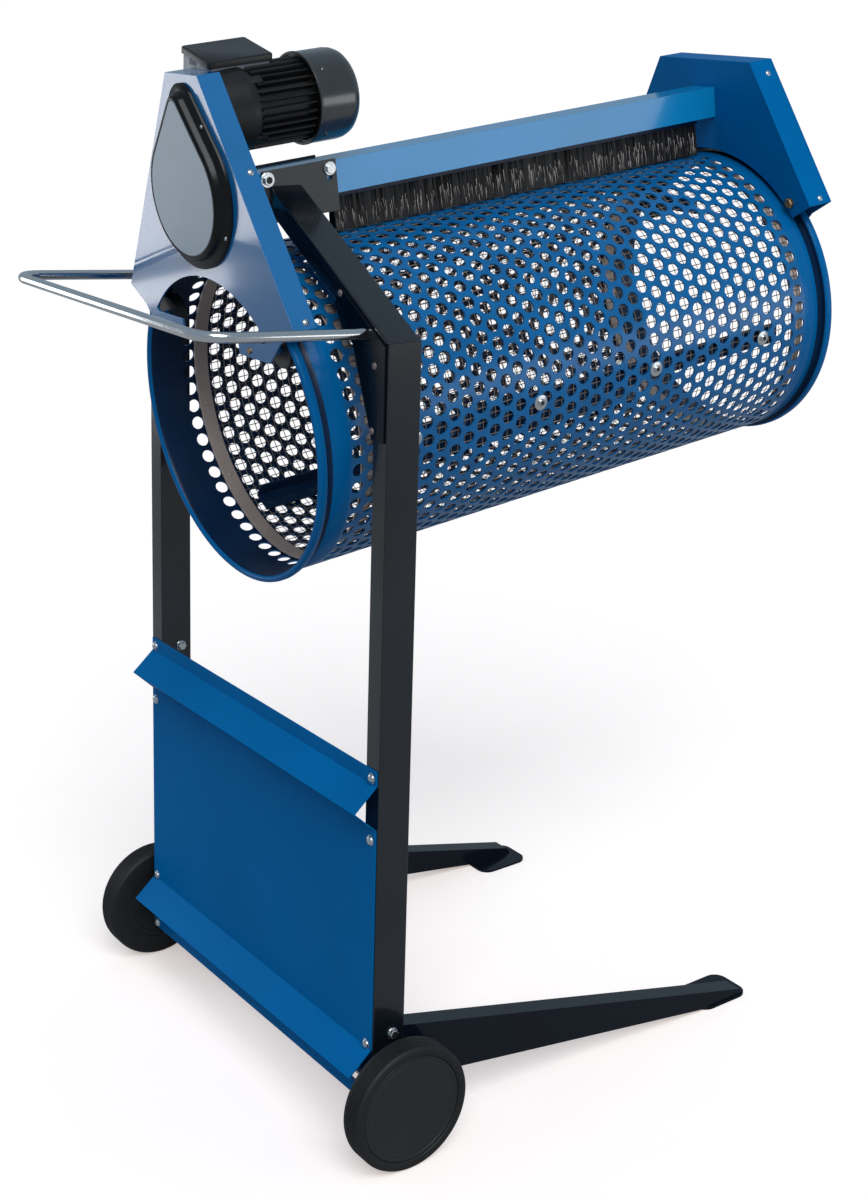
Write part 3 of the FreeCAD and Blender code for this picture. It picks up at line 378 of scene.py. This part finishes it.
camera.data.shift_y = (CENTRE_DOWN - PICTURE_HEIGHT / 2) / PICTURE_HEIGHT
camera.data.clip_start = 0.05
camera.data.clip_end = 200.0
bpy.context.scene.camera = camera
bpy.context.scene.view_settings.view_transform = "Standard"

# Floor and studio light; white to the camera, dimmer to the paint's reflections
FLOOR_HALF = 60
ground = bpy.data.meshes.new("floor")
ground.from_pydata([(-FLOOR_HALF, -FLOOR_HALF, 0), (FLOOR_HALF, -FLOOR_HALF, 0),
                    (FLOOR_HALF, FLOOR_HALF, 0), (-FLOOR_HALF, FLOOR_HALF, 0)],
                   [], [(0, 1, 2, 3)])
floor = bpy.data.objects.new("floor", ground)
pale = finish_of("floor_pale", (0.90, 0.90, 0.90), 0.7, spread=0.01, bump=0.0,
                 Specular_IOR_Level=0.0, Emission_Color=(1, 0.85, 0.77, 1), Emission_Strength=0.43)
grey = pale.node_tree.nodes.new("ShaderNodeBsdfDiffuse")
set_inputs(grey, {"Color": (0.42, 0.42, 0.42, 1)})
seen = pale.node_tree.nodes.new("ShaderNodeLightPath")
blend = pale.node_tree.nodes.new("ShaderNodeMixShader")
ties = pale.node_tree.links
ties.new(seen.outputs["Is Camera Ray"], blend.inputs["Fac"])
ties.new(grey.outputs["BSDF"], blend.inputs[1])
ties.new(pale.node_tree.nodes["Principled BSDF"].outputs["BSDF"], blend.inputs[2])
ties.new(blend.outputs["Shader"], pale.node_tree.nodes["Material Output"].inputs["Surface"])
ground.materials.append(pale)
bpy.context.scene.collection.objects.link(floor)

world = bpy.data.worlds.new("studio")
bpy.context.scene.world = world
world.use_nodes = True
sky = world.node_tree.nodes
set_inputs(sky["Background"], {"Color": (0.66, 0.84, 1.0, 1), "Strength": 0.36})
backdrop = sky.new("ShaderNodeBackground")
set_inputs(backdrop, {"Color": (1, 1, 1, 1), "Strength": 1.0})
kind_of_ray = sky.new("ShaderNodeLightPath")
choice = sky.new("ShaderNodeMixShader")
joins = world.node_tree.links
joins.new(kind_of_ray.outputs["Is Camera Ray"], choice.inputs["Fac"])
joins.new(sky["Background"].outputs["Background"], choice.inputs[1])
joins.new(backdrop.outputs["Background"], choice.inputs[2])
joins.new(choice.outputs["Shader"], sky["World Output"].inputs["Surface"])


def add_lamp(name, kind, place, target, power):
    lamp = bpy.data.objects.new(name, bpy.data.lights.new(name, kind))
    lamp.data.energy = power
    lamp.location = place
    lamp.rotation_mode = "QUATERNION"
    lamp.rotation_quaternion = (Vector(target) - Vector(place)).to_track_quat("-Z", "Y")
    lamp.visible_camera = False
    bpy.context.scene.collection.objects.link(lamp)
    return lamp


sun = add_lamp("sun", "SUN", (-1.1, -2.8, 3.3), (0, 0, 0), 1.8)
sun.data.angle = math.radians(40)
SOFTBOXES = (
    # name, place, aim, width, height, power
    ("back_upper", (-1.56, 2.25, 1.14), (-0.4, 0.0, 1.14), 0.66, 1.12, 5.6),
    ("back_lower", (-1.40, 2.25, 0.51), (-0.4, 0.0, 0.51), 0.40, 0.07, 0.25),
    ("front_strip", (1.95, -2.40, 1.00), (0.1, 0.0, 1.30), 2.0, 0.90, 7.0),
)
for name, place, target, width, height, power in SOFTBOXES:
    softbox = add_lamp(name, "AREA", place, target, power)
    softbox.data.shape = "RECTANGLE"
    softbox.data.size = width
    softbox.data.size_y = height

# CAD nodes that stay, with their paint and the width of their rounded edges;
# the thin folded ends of the front panel stay sharp
DRESSED = (
    (("leg_near", "leg_far", "slant_near", "slant_far"), LEG_BLACK, 2.5),
    (("foot_near", "foot_far"), BLACK, 1.2),
    (("knee_plate_near", "knee_plate_far"), BLACK, 0.6),
    (("pivot_plate_near", "pivot_plate_far"), PLATE, 0.8),
    (("front_panel",), PANEL_BLUE, 0.0),
    (("beam",), LIT_BEAM_BLUE, 1.6),
    (("near_bracket",), BLUE, 0.8),
    (("near_back_plate", "far_bracket", "far_end_plate"), PANEL_BLUE, 0.8),
    (("lifter_bar_1", "lifter_bar_2", "lifter_bar_3"), BAR, 0.5),
    (("axle",), ZINC, 0.4),
    # the brush holder's real blue, darkened as painted shade under the beam
    (("brush_holder",), SHADE_BLUE, 0.4),
    (("pivot_bolt", "clamp_bolt"), ZINC, 0.5),
    (("drive_wheel",), RUBBER, 0.6),
    (("roller_near_near", "roller_near_far", "roller_far_near", "roller_far_far"), ROLLER, 0.8),
)
for names, paint, width in DRESSED:
    for name in names:
        dress(name, paint, width)


def make_screen():
    """Perforated sheet: a ring of metal round each hole of a staggered pattern."""
    rings = 37
    around = 54
    first = 64.0
    step = (DRUM_LENGTH - 2 * first) / (rings - 1)
    hole = 9.4
    low = 52.0
    high = DRUM_LENGTH - 52.0
    turn = 2 * math.pi / around
    pitch = turn * SHELL_OUT
    flat_u = step / 2 - pitch * pitch / (8 * step)
    tip_u = (step * step + pitch * pitch / 4) / (2 * step)
    corners = [(tip_u, 0), (flat_u, pitch / 2), (-flat_u, pitch / 2), (-tip_u, 0),
               (-flat_u, -pitch / 2), (flat_u, -pitch / 2)]
    border = []
    for k in range(6):
        a, b = corners[k], corners[(k + 1) % 6]
        border.append(a)
        border.append(((a[0] + b[0]) / 2, (a[1] + b[1]) / 2))
    holes = [(hole * math.cos(math.atan2(c, u)), hole * math.sin(math.atan2(c, u)))
             for u, c in border]
    points = []
    known = {}
    faces = []
    uses = []

    # Points on the border of a hole's patch are shared with its neighbours
    def point(u, angle, radius):
        key = (round(u, 2), round(angle / turn * 24) % (around * 24), radius)
        if key not in known:
            known[key] = len(points)
            points.append((u, radius * math.sin(angle), radius * math.cos(angle)))
        return known[key]

    for ring in range(rings):
        middle = first + ring * step
        for column in range(around):
            angle = (column + 0.5 * (ring % 2)) * turn
            edge = {}
            rim = {}
            for radius in (SHELL_OUT, SHELL_IN):
                edge[radius] = []
                rim[radius] = []
                for (u, c), (hu, hc) in zip(border, holes):
                    place = middle + u
                    if ring == 0 and u < 0:
                        place = low
                    if ring == rings - 1 and u > 0:
                        place = high
                    edge[radius].append(point(place, angle + c / SHELL_OUT, radius))
                    points.append((middle + hu, radius * math.sin(angle + hc / SHELL_OUT),
                                   radius * math.cos(angle + hc / SHELL_OUT)))
                    rim[radius].append(len(points) - 1)
            for k in range(12):
                n = (k + 1) % 12
                out, inn = edge[SHELL_OUT], rim[SHELL_OUT]
                faces.append((out[k], out[n], inn[n], inn[k]))
                out2, inn2 = edge[SHELL_IN], rim[SHELL_IN]
                faces.append((inn2[k], inn2[n], out2[n], out2[k]))
                faces.append((inn[k], inn[n], inn2[n], inn2[k]))
                # the sheet's inner face takes the painted shade of the drum's inside
                uses += [0, 1, 0]
    build = Build()
    build.add((points, faces))
    build.uses = uses
    sheet = build.make("screen_sheet", HEAD, "drum", "screen_paint", SCREEN_BLUE, SHADE_BLUE)
    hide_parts("screen_shell")


def make_lining():
    """Square wire mesh inside the sheet, between the two hoops."""
    along = 131
    rings = 76
    half = 0.7
    long_wire = 218.9
    round_wire = 218.2
    build = Build()
    low, high = 76.0, DRUM_LENGTH - 58.0
    for k in range(along):
        angle = 2 * math.pi * k / along
        rod = [(long_wire + half * dr, half * dt) for dr, dt in ((1, 0), (0, 1), (-1, 0), (0, -1))]
        ends = []
        for u in (low, high):
            ends.append([(u, r * math.sin(angle) + t * math.cos(angle),
                          r * math.cos(angle) - t * math.sin(angle)) for r, t in rod])
        build.add(stack(ends))
    for k in range(rings):
        u = low + 4 + (high - low - 8) * k / (rings - 1)
        build.add(lathe([(u - half, round_wire), (u, round_wire + half), (u + half, round_wire),
                         (u, round_wire - half)], 72))
    build.make("wire_lining", HEAD, "drum", "hoop_steel", WIRE, smooth=80)


def make_rims():
    """Rolled rims with a groove behind the bead, and the hoops that hold the lining."""
    rim = [(52.0, SHELL_IN), (9.0, SHELL_IN), (4.0, 219.9), (1.4, 221.4), (0.2, 223.8),
           (0.5, 226.6), (2.4, 228.5), (5.0, 229.0), (9.0, 229.0), (12.0, 228.2),
           (13.6, 226.2), (13.9, 223.6), (14.6, 221.0), (25.0, 221.0), (26.2, SHELL_OUT),
           (52.0, SHELL_OUT)]
    far = [(DRUM_LENGTH - u, r) for u, r in reversed(rim)]
    # Faces of the profile that lie inside or in the groove get painted shade, a darker blue
    for name, profile, dark in (("near", rim, (0, 1, 10, 11, 12)),
                                ("far", far, (2, 3, 4, 13, 14))):
        build = Build()
        build.add(lathe(profile, 144))
        build.uses = [1 if k % len(profile) in dark else 0 for k in range(len(build.faces))]
        ring = build.make("rim_" + name, HEAD, "drum", "blue_paint", RIM_BLUE, SHADE_BLUE,
                          smooth=50)
        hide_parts(name + "_ring")
    hoop_inner = 213.6
    for name, low in (("near", 72.0), ("far", DRUM_LENGTH - 75.0)):
        build = Build()
        build.add(lathe([(low, 214.2), (low + 0.8, hoop_inner), (low + 20.2, hoop_inner),
                         (low + 21, 214.2), (low + 21, 217.0), (low, 217.0)], 144))
        for k in range(12):
            angle = math.radians(30 * k + 10)
            place = (low + 10.5, hoop_inner * math.sin(angle), hoop_inner * math.cos(angle))
            toward = (0, -math.sin(angle), -math.cos(angle))
            build.add(dome_head(3.2, 1.6, 12), aim(place, toward))
        hoop = build.make("hoop_ring_" + name, HEAD, "drum", "hoop_steel", HOOP)
        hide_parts("hoop_" + name)


def make_drum_screws():
    """Washers and socket screws that hold the lifter bars."""
    build = Build()
    for turn in (94.5, 214.5, 334.5):
        for u in (153.0, 364.0, 575.0, 786.0):
            angle = math.radians(turn)
            across = -math.sin(angle)
            up = math.cos(angle)
            place = (u, across * (SHELL_OUT + 0.2), up * (SHELL_OUT + 0.2))
            add_screw(build, place, (0, across, up), "socket", 11.0, ring=11.0)
    build.make("drum_screws", HEAD, "drum", "zinc", ZINC, SHADE_DARK)


def make_brush():
    """Bristle strip: a dark core with ribs, tufts over it and a few pale strands that are painted
    highlights.
    """
    low, high = 196.0, 866.0
    root, tip = 272.0, 223.6
    build = Build()
    columns = 336
    for side in (-1, 1):
        ring = []
        for k in range(columns):
            u = low + (high - low) * k / (columns - 1)
            bump = random.uniform(0.0, 1.4)
            ring.append((u, side * (4.6 + bump)))
        points = [(u, v, root) for u, v in ring] + [(u, v * 1.6, tip + 0.6) for u, v in ring]
        faces = [(k, k + 1, columns + k + 1, columns + k) for k in range(columns - 1)]
        build.add((points, faces))
    dark = Build()
    pale = Build()
    strands = 4200
    for k in range(strands):
        u = random.uniform(low + 1.5, high - 1.5)
        v = random.uniform(-6.0, 6.0)
        lean_u = random.gauss(0, 1.3)
        lean_v = random.gauss(0, 0.9)
        end = tip + random.uniform(0, 4.0)
        thick = random.uniform(0.35, 0.6)
        target = dark
        # pale strands on the outer sides: painted highlights on the dark bristles
        if random.random() < 0.13:
            target = pale
            v = random.choice((-1, 1)) * random.uniform(7.4, 8.4)
            root_w = random.uniform(232, 262)
            thick = random.uniform(0.35, 0.65)
        else:
            root_w = root
        spread_v = v * (1.0 + 0.6 * (root_w - end) / 48.0)
        tip_v = max(-9.6, min(9.6, spread_v + lean_v))
        tip_u = max(low + 0.5, min(high - 0.5, u + lean_u * (root_w - end) / 40))
        points = []
        for angle in (0.4, 2.5, 4.6):
            points.append((u + thick * math.cos(angle), v + thick * math.sin(angle), root_w))
        tip_w = end
        if target is pale:
            tip_w = max(tip + 0.6, root_w - random.uniform(8, 24))
        points.append((tip_u, tip_v, tip_w))
        target.add((points, [(0, 1, 3), (1, 2, 3), (2, 0, 3)]))
    dark.add((build.points, build.faces))
    strip = dark.make("bristles", HEAD, "head", "bristle", BRISTLE, smooth=60)
    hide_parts("brush")
    pale.make("bristle_glints", HEAD, "head", "bristle", BRISTLE_GLINT, smooth=60)


def drop(inset, height, count=40):
    """Ring of the drive cover's outline: two circles and their common tangents."""
    low_w, low_r = 312.0, 100.0 - inset
    top_w, top_r = 422.0, 32.0 - inset
    span = top_w - low_w
    tilt = math.asin((low_r - top_r) / span)
    ring = []
    for k in range(count + 1):
        angle = math.pi - tilt + (math.pi + 2 * tilt) * k / count
        ring.append((height, low_r * math.cos(angle), low_w + low_r * math.sin(angle)))
    for k in range(count + 1):
        angle = tilt + (math.pi - 2 * tilt) * k / count
        ring.append((height, top_r * math.cos(angle), top_w + top_r * math.sin(angle)))
    return ring


def make_cover():
    """Drive cover: screwed flange, rounded wall and a pale face."""
    plate = -11.0
    steps = ((0, 0), (0, 4.0), (1.4, 5.4), (9.5, 5.8), (11.2, 6.8), (12.4, 10.0),
             (13.6, 14.2), (15.4, 16.8), (17.6, 17.9), (19.2, 17.9), (19.8, 17.0))
    build = Build()
    build.add(stack([drop(inset, plate - lift) for inset, lift in steps]))
    shell = build.make("cover_shell", HEAD, "head", "cover_plastic", COVER, smooth=50)
    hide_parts("drive_cover")
    face = Build()
    face.add(stack([drop(inset, plate - lift)
                    for inset, lift in ((20.4, 16.6), (20.4, 17.5), (21.2, 17.9))]))
    face.make("cover_face", HEAD, "head", "cover_plastic", COVER_FACE, smooth=15)


def make_motor():
    """Motor: end bell with bosses, finned body and a cowl with a grille."""
    centre = Matrix.Translation((0, 0, MOTOR_AXIS))
    build = Build()
    bell = [(23.0, 40.0), (23.0, 50.0), (27.0, 54.0), (60.0, 55.5), (66.0, 55.5), (73.0, 53.0),
            (75.0, 50.0), (75.0, 40.0)]
    build.add(lathe(bell, 64), centre)
    build.add(lathe([(74.0, 46.5), (160.0, 46.5)], 64, closed=False), centre)
    for k in range(30):
        angle = math.radians(12 * k + 6)
        turn = Matrix.Rotation(angle, 4, "X")
        fin = [(-1.6, 44.0), (1.6, 44.0), (1.0, 55.2), (0.5, 55.9), (-0.5, 55.9), (-1.0, 55.2)]
        build.add(prism(fin, 74.0, 157.0), centre @ turn)
    for k in range(4):
        angle = math.radians(90 * k + 45)
        turn = Matrix.Rotation(angle, 4, "X")
        boss = [(-7, 40), (7, 40), (6, 54.5), (3, 56), (-3, 56), (-6, 54.5)]
        build.add(prism(boss, 60.0, 84.0), centre @ turn)
    body = build.make("motor_casting", HEAD, "head", "motor_black", CAST)
    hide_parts("motor_body")
    build = Build()
    cowl = [(157.0, 58.5), (157.0, 61.6), (158.2, 62.0), (160.6, 62.0), (161.8, 61.2),
            (206.0, 61.2), (213.0, 60.2), (219.0, 57.6), (223.0, 53.5), (225.0, 48.0)]
    for radius in (44.0, 37.0, 30.0, 23.0):
        cowl += [(225.0, radius), (221.5, radius - 0.6), (221.5, radius - 3.4),
                 (225.0, radius - 4.0)]
    cowl += [(225.0, 12.0), (223.5, 10.0), (223.5, 0.5)]
    cowl += [(160.0, 0.5), (160.0, 58.5)]
    build.add(lathe(cowl, 72), centre)
    ring = (0, 1, len(cowl) - 1, len(cowl) - 2)
    build.uses = [1 if k % len(cowl) in ring else 0 for k in range(len(build.faces))]
    for k in range(4):
        angle = math.radians(90 * k + 40)
        place = (174.0, 61.2 * math.sin(angle), MOTOR_AXIS + 61.2 * math.cos(angle))
        build.add(dome_head(3.6, 1.6, 12), aim(place, (0, math.sin(angle), math.cos(angle))))
    cover = build.make("motor_fan_cowl", HEAD, "head", "motor_black", COWL, CAST, smooth=30)
    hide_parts("motor_cowl")


def bend_path(corners, bend, steps=10):
    """Path along straight runs joined by arcs, with a list of its points."""
    path = [Vector(corners[0])]
    for before, corner, after in zip(corners, corners[1:], corners[2:]):
        back = (Vector(before) - Vector(corner)).normalized()
        onward = (Vector(after) - Vector(corner)).normalized()
        half = back.angle(onward) / 2
        centre = Vector(corner) + (back + onward).normalized() * (bend / math.sin(half))
        first = Vector(corner) + back * (bend / math.tan(half))
        axis = (first - centre).cross(-back)
        for step in range(steps + 1):
            angle = (math.pi - 2 * half) * step / steps
            path.append(centre + Matrix.Rotation(angle, 3, axis) @ (first - centre))
    path.append(Vector(corners[-1]))
    return path


def make_handle():
    """Push handle: one bent tube whose ends are flattened at the knee plates."""
    low, high = 1124.3, 1138.12
    slope = (high - low) / 229.0
    corners = [(-28.0, -270.0, low), (-257.0, -270.0, high), (-257.0, 270.0, high),
               (-28.0, 270.0, low)]
    arms = [[Vector((-28.0 - reach, side, low + reach * slope)) for reach in (0.0, 8.0, 20.0)]
            for side in (-270.0, 270.0)]
    path = arms[0] + bend_path(corners, 40.0)[1:-1] + arms[1][::-1]
    last = len(path) - 1
    flat = {0: (6.6, 2.2), 1: (7.6, 4.2), last - 1: (7.6, 4.2), last: (6.6, 2.2)}
    build = Build()
    build.add(tube(path, 7.0, 24, flat))
    handle = build.make("handle_tube", PORTAL, "frame", "handle_chrome", CHROME, smooth=60)
    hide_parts("handle")


def make_wheels():
    """Tyres with fine grooves near the outer edge, and plain hub discs."""
    tread = [(5.0, 89.2), (7.0, 90.0)]
    for middle in (13.0, 17.5, 22.0, 26.5, 31.0):
        tread += [(middle - 1.0, 90.0), (middle - 0.6, 88.7), (middle + 0.6, 88.7),
                  (middle + 1.0, 90.0)]
    tyre = [(0.0, 58.0), (0.0, 81.0), (1.3, 85.6)] + tread
    tyre += [(33.4, 89.9), (35.4, 89.0), (37.0, 87.2), (37.9, 84.6), (38.0, 80.0), (37.4, 77.2),
             (36.2, 76.2), (33.0, 76.0), (33.0, 58.0)]
    hub = [(-8.0, 10.1), (-8.0, 21.0), (-7.0, 22.0), (4.0, 22.0), (4.0, 50.0), (2.6, 51.0),
           (2.6, 57.9), (33.2, 57.9), (33.2, 75.8), (35.2, 75.8), (36.0, 75.0), (36.0, 71.6),
           (35.4, 71.0), (35.4, 69.4), (35.8, 68.8), (35.8, 0.4), (30.0, 0.4), (30.0, 10.1)]
    for name, side in (("near", -1), ("far", 1)):
        for kind, profile, slot, paint in (("tyre", tyre, "tyre_rubber", RUBBER),
                                           ("hub", hub, "hub_plastic", HUB)):
            build = Build()
            build.add(lathe([(side * (334.0 + along), radius) for along, radius in profile], 96))
            piece = build.make(kind + "_form_" + name, WHEEL, "wheel_" + name, slot, paint,
                               smooth=28)
            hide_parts(kind + "_" + name)


def rounded(low_v, high_v, low_w, high_w, radius, steps=5):
    """Rectangle with rounded corners in the second and third axis."""
    outline = []
    corners = ((high_v - radius, high_w - radius, 0), (low_v + radius, high_w - radius, 90),
               (low_v + radius, low_w + radius, 180), (high_v - radius, low_w + radius, 270))
    for v, w, start in corners:
        for step in range(steps + 1):
            angle = math.radians(start + 90 * step / steps)
            outline.append((v + radius * math.cos(angle), w + radius * math.sin(angle)))
    return outline


def level_slab(low_u, high_u, low_v, high_v, levels):
    """Slab built up along the third axis; levels are (height, inset)."""
    rings = []
    for height, inset in levels:
        outline = rounded(low_u + inset, high_u - inset, low_v + inset, high_v - inset,
                          max(0.8, 5.0 - inset))
        rings.append([(u, v, height) for u, v in outline])
    return stack(rings)


def make_terminal_box():
    """Terminal box: case in light grey as a painted reflection on black, on the motor's shoulder
    under a dark overhanging lid.
    """
    leaned = Matrix.Translation((0, 0, MOTOR_AXIS)) @ Matrix.Rotation(math.radians(15), 4, "X")
    build = Build()
    build.add(level_slab(23.4, 120.6, 1.4, 75.6,
                         ((57.5, 0.6), (58.2, 0), (64.6, 0), (66.2, 0.7), (67.0, 2.4))), leaned)
    # case walls in the light grey of the painted reflection
    build.add(level_slab(25.4, 118.6, 30.0, 73.6, ((30.0, 0), (58.0, 0))), leaned, use=1)
    build.add(level_slab(25.4, 118.6, 3.4, 60.0, ((48.0, 0), (58.0, 0))), leaned, use=1)
    # thin dark layer under the lid: painted shade of the lid's overhang
    build.add(level_slab(27.0, 117.0, 5.0, 72.0, ((56.6, 0), (57.6, 0))), leaned, use=2)
    for u in (31.0, 113.0):
        for v in (9.0, 68.0):
            build.add(dome_head(3.0, 1.4, 12), leaned @ aim((u, v, 65.2), (0, 0, 1)), use=3)
    box = build.make("terminal_case", HEAD, "head", "motor_black", BOX_LID, BOX_PAINTED_SHEEN, SHADE_DARK,
                     CAST, smooth=30)
    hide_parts("terminal_box")


def make_frame_screws():
    """Bolts of the front panel, the knee plates and the feet."""
    build = Build()
    for y in (-297.5, 297.5):
        for z in (544.0, 457.0, 160.0, 78.0):
            add_screw(build, (-27.0, y, z), (-1, 0, 0), "dome", 13.0, ring=7.4)
            inner = -281.0 if y < 0 else 281.0
            add_screw(build, (8.0, inner, z), (0, -1 if y > 0 else 1, 0), "hex", 12.0, ring=8.0)
    for side in (-1, 1):
        for z in (172.0, 112.0):
            add_screw(build, (6.2, side * 311.0, z), (0, side, 0), "hex", 12.0, ring=8.0)
    build.make("frame_bolts", PORTAL, "frame", "zinc", ZINC, SHADE_DARK)
    build = Build()
    for side in (-1, 1):
        for y, z in ((205.4, 1165.9), (285.5, 1086.7), (281.9, 1003.6)):
            add_screw(build, (-28.0, side * y, z), (-1, 0, 0), "dome", 9.5)
    build.make("knee_rivets", PORTAL, "frame", "zinc", DULL_HEAD)


def make_head_screws():
    """Screws of the two brackets, the drive cover and the tilting plates."""
    build = Build()
    for side in (-1, 1):
        toward = (0, side * math.cos(math.radians(30)), math.sin(math.radians(30)))
        for u, v, w in ((13.0, 111.1, 345.2), (10.0, 213.1, 168.5), (920.0, 110.3, 346.5),
                        (919.0, 213.5, 167.8)):
            add_screw(build, (u, side * v, w), toward, "dome", 9.5)
    for v, w in ((-49.5, 402.0), (-81.1, 262.7), (49.5, 402.0), (81.1, 262.7)):
        add_screw(build, (-16.5, v, w), (-1, 0, 0), "dome", 6.0)
    for side in (-1, 1):
        build.add(washer(10.5, 1.4), aim((85.0, side * 27.0, 315.5), (0, side, 0)))
        # dark disc in the washer: painted shade of the hole
        build.add(lathe([(5.3, 4.8), (5.6, 4.8), (5.6, 0.4)], 20, closed=False),
                  aim((85.0, side * 27.0, 315.5), (0, side, 0)), use=1)
        build.add(washer(9.4, 2.2), aim((182.0, side * 27.2, 315.5), (0, side, 0)))
    build.make("head_screws", HEAD, "head", "zinc", ZINC, SHADE_DARK)
    build = Build()
    for side in (-1, 1):
        add_screw(build, (FAR_FACE, side * 177.8, 161.2), (-1, 0, 0), "hex", 14.0)
        add_screw(build, (-11.0, side * 103.0, 117.6), (-1, 0, 0), "hex", 7.0)
    build.make("tab_bolts", HEAD, "head", "zinc", BRASS)


make_screen()
make_lining()
make_rims()
make_drum_screws()
make_brush()
make_cover()
make_motor()
make_terminal_box()
make_handle()
make_wheels()
make_frame_screws()
make_head_screws()
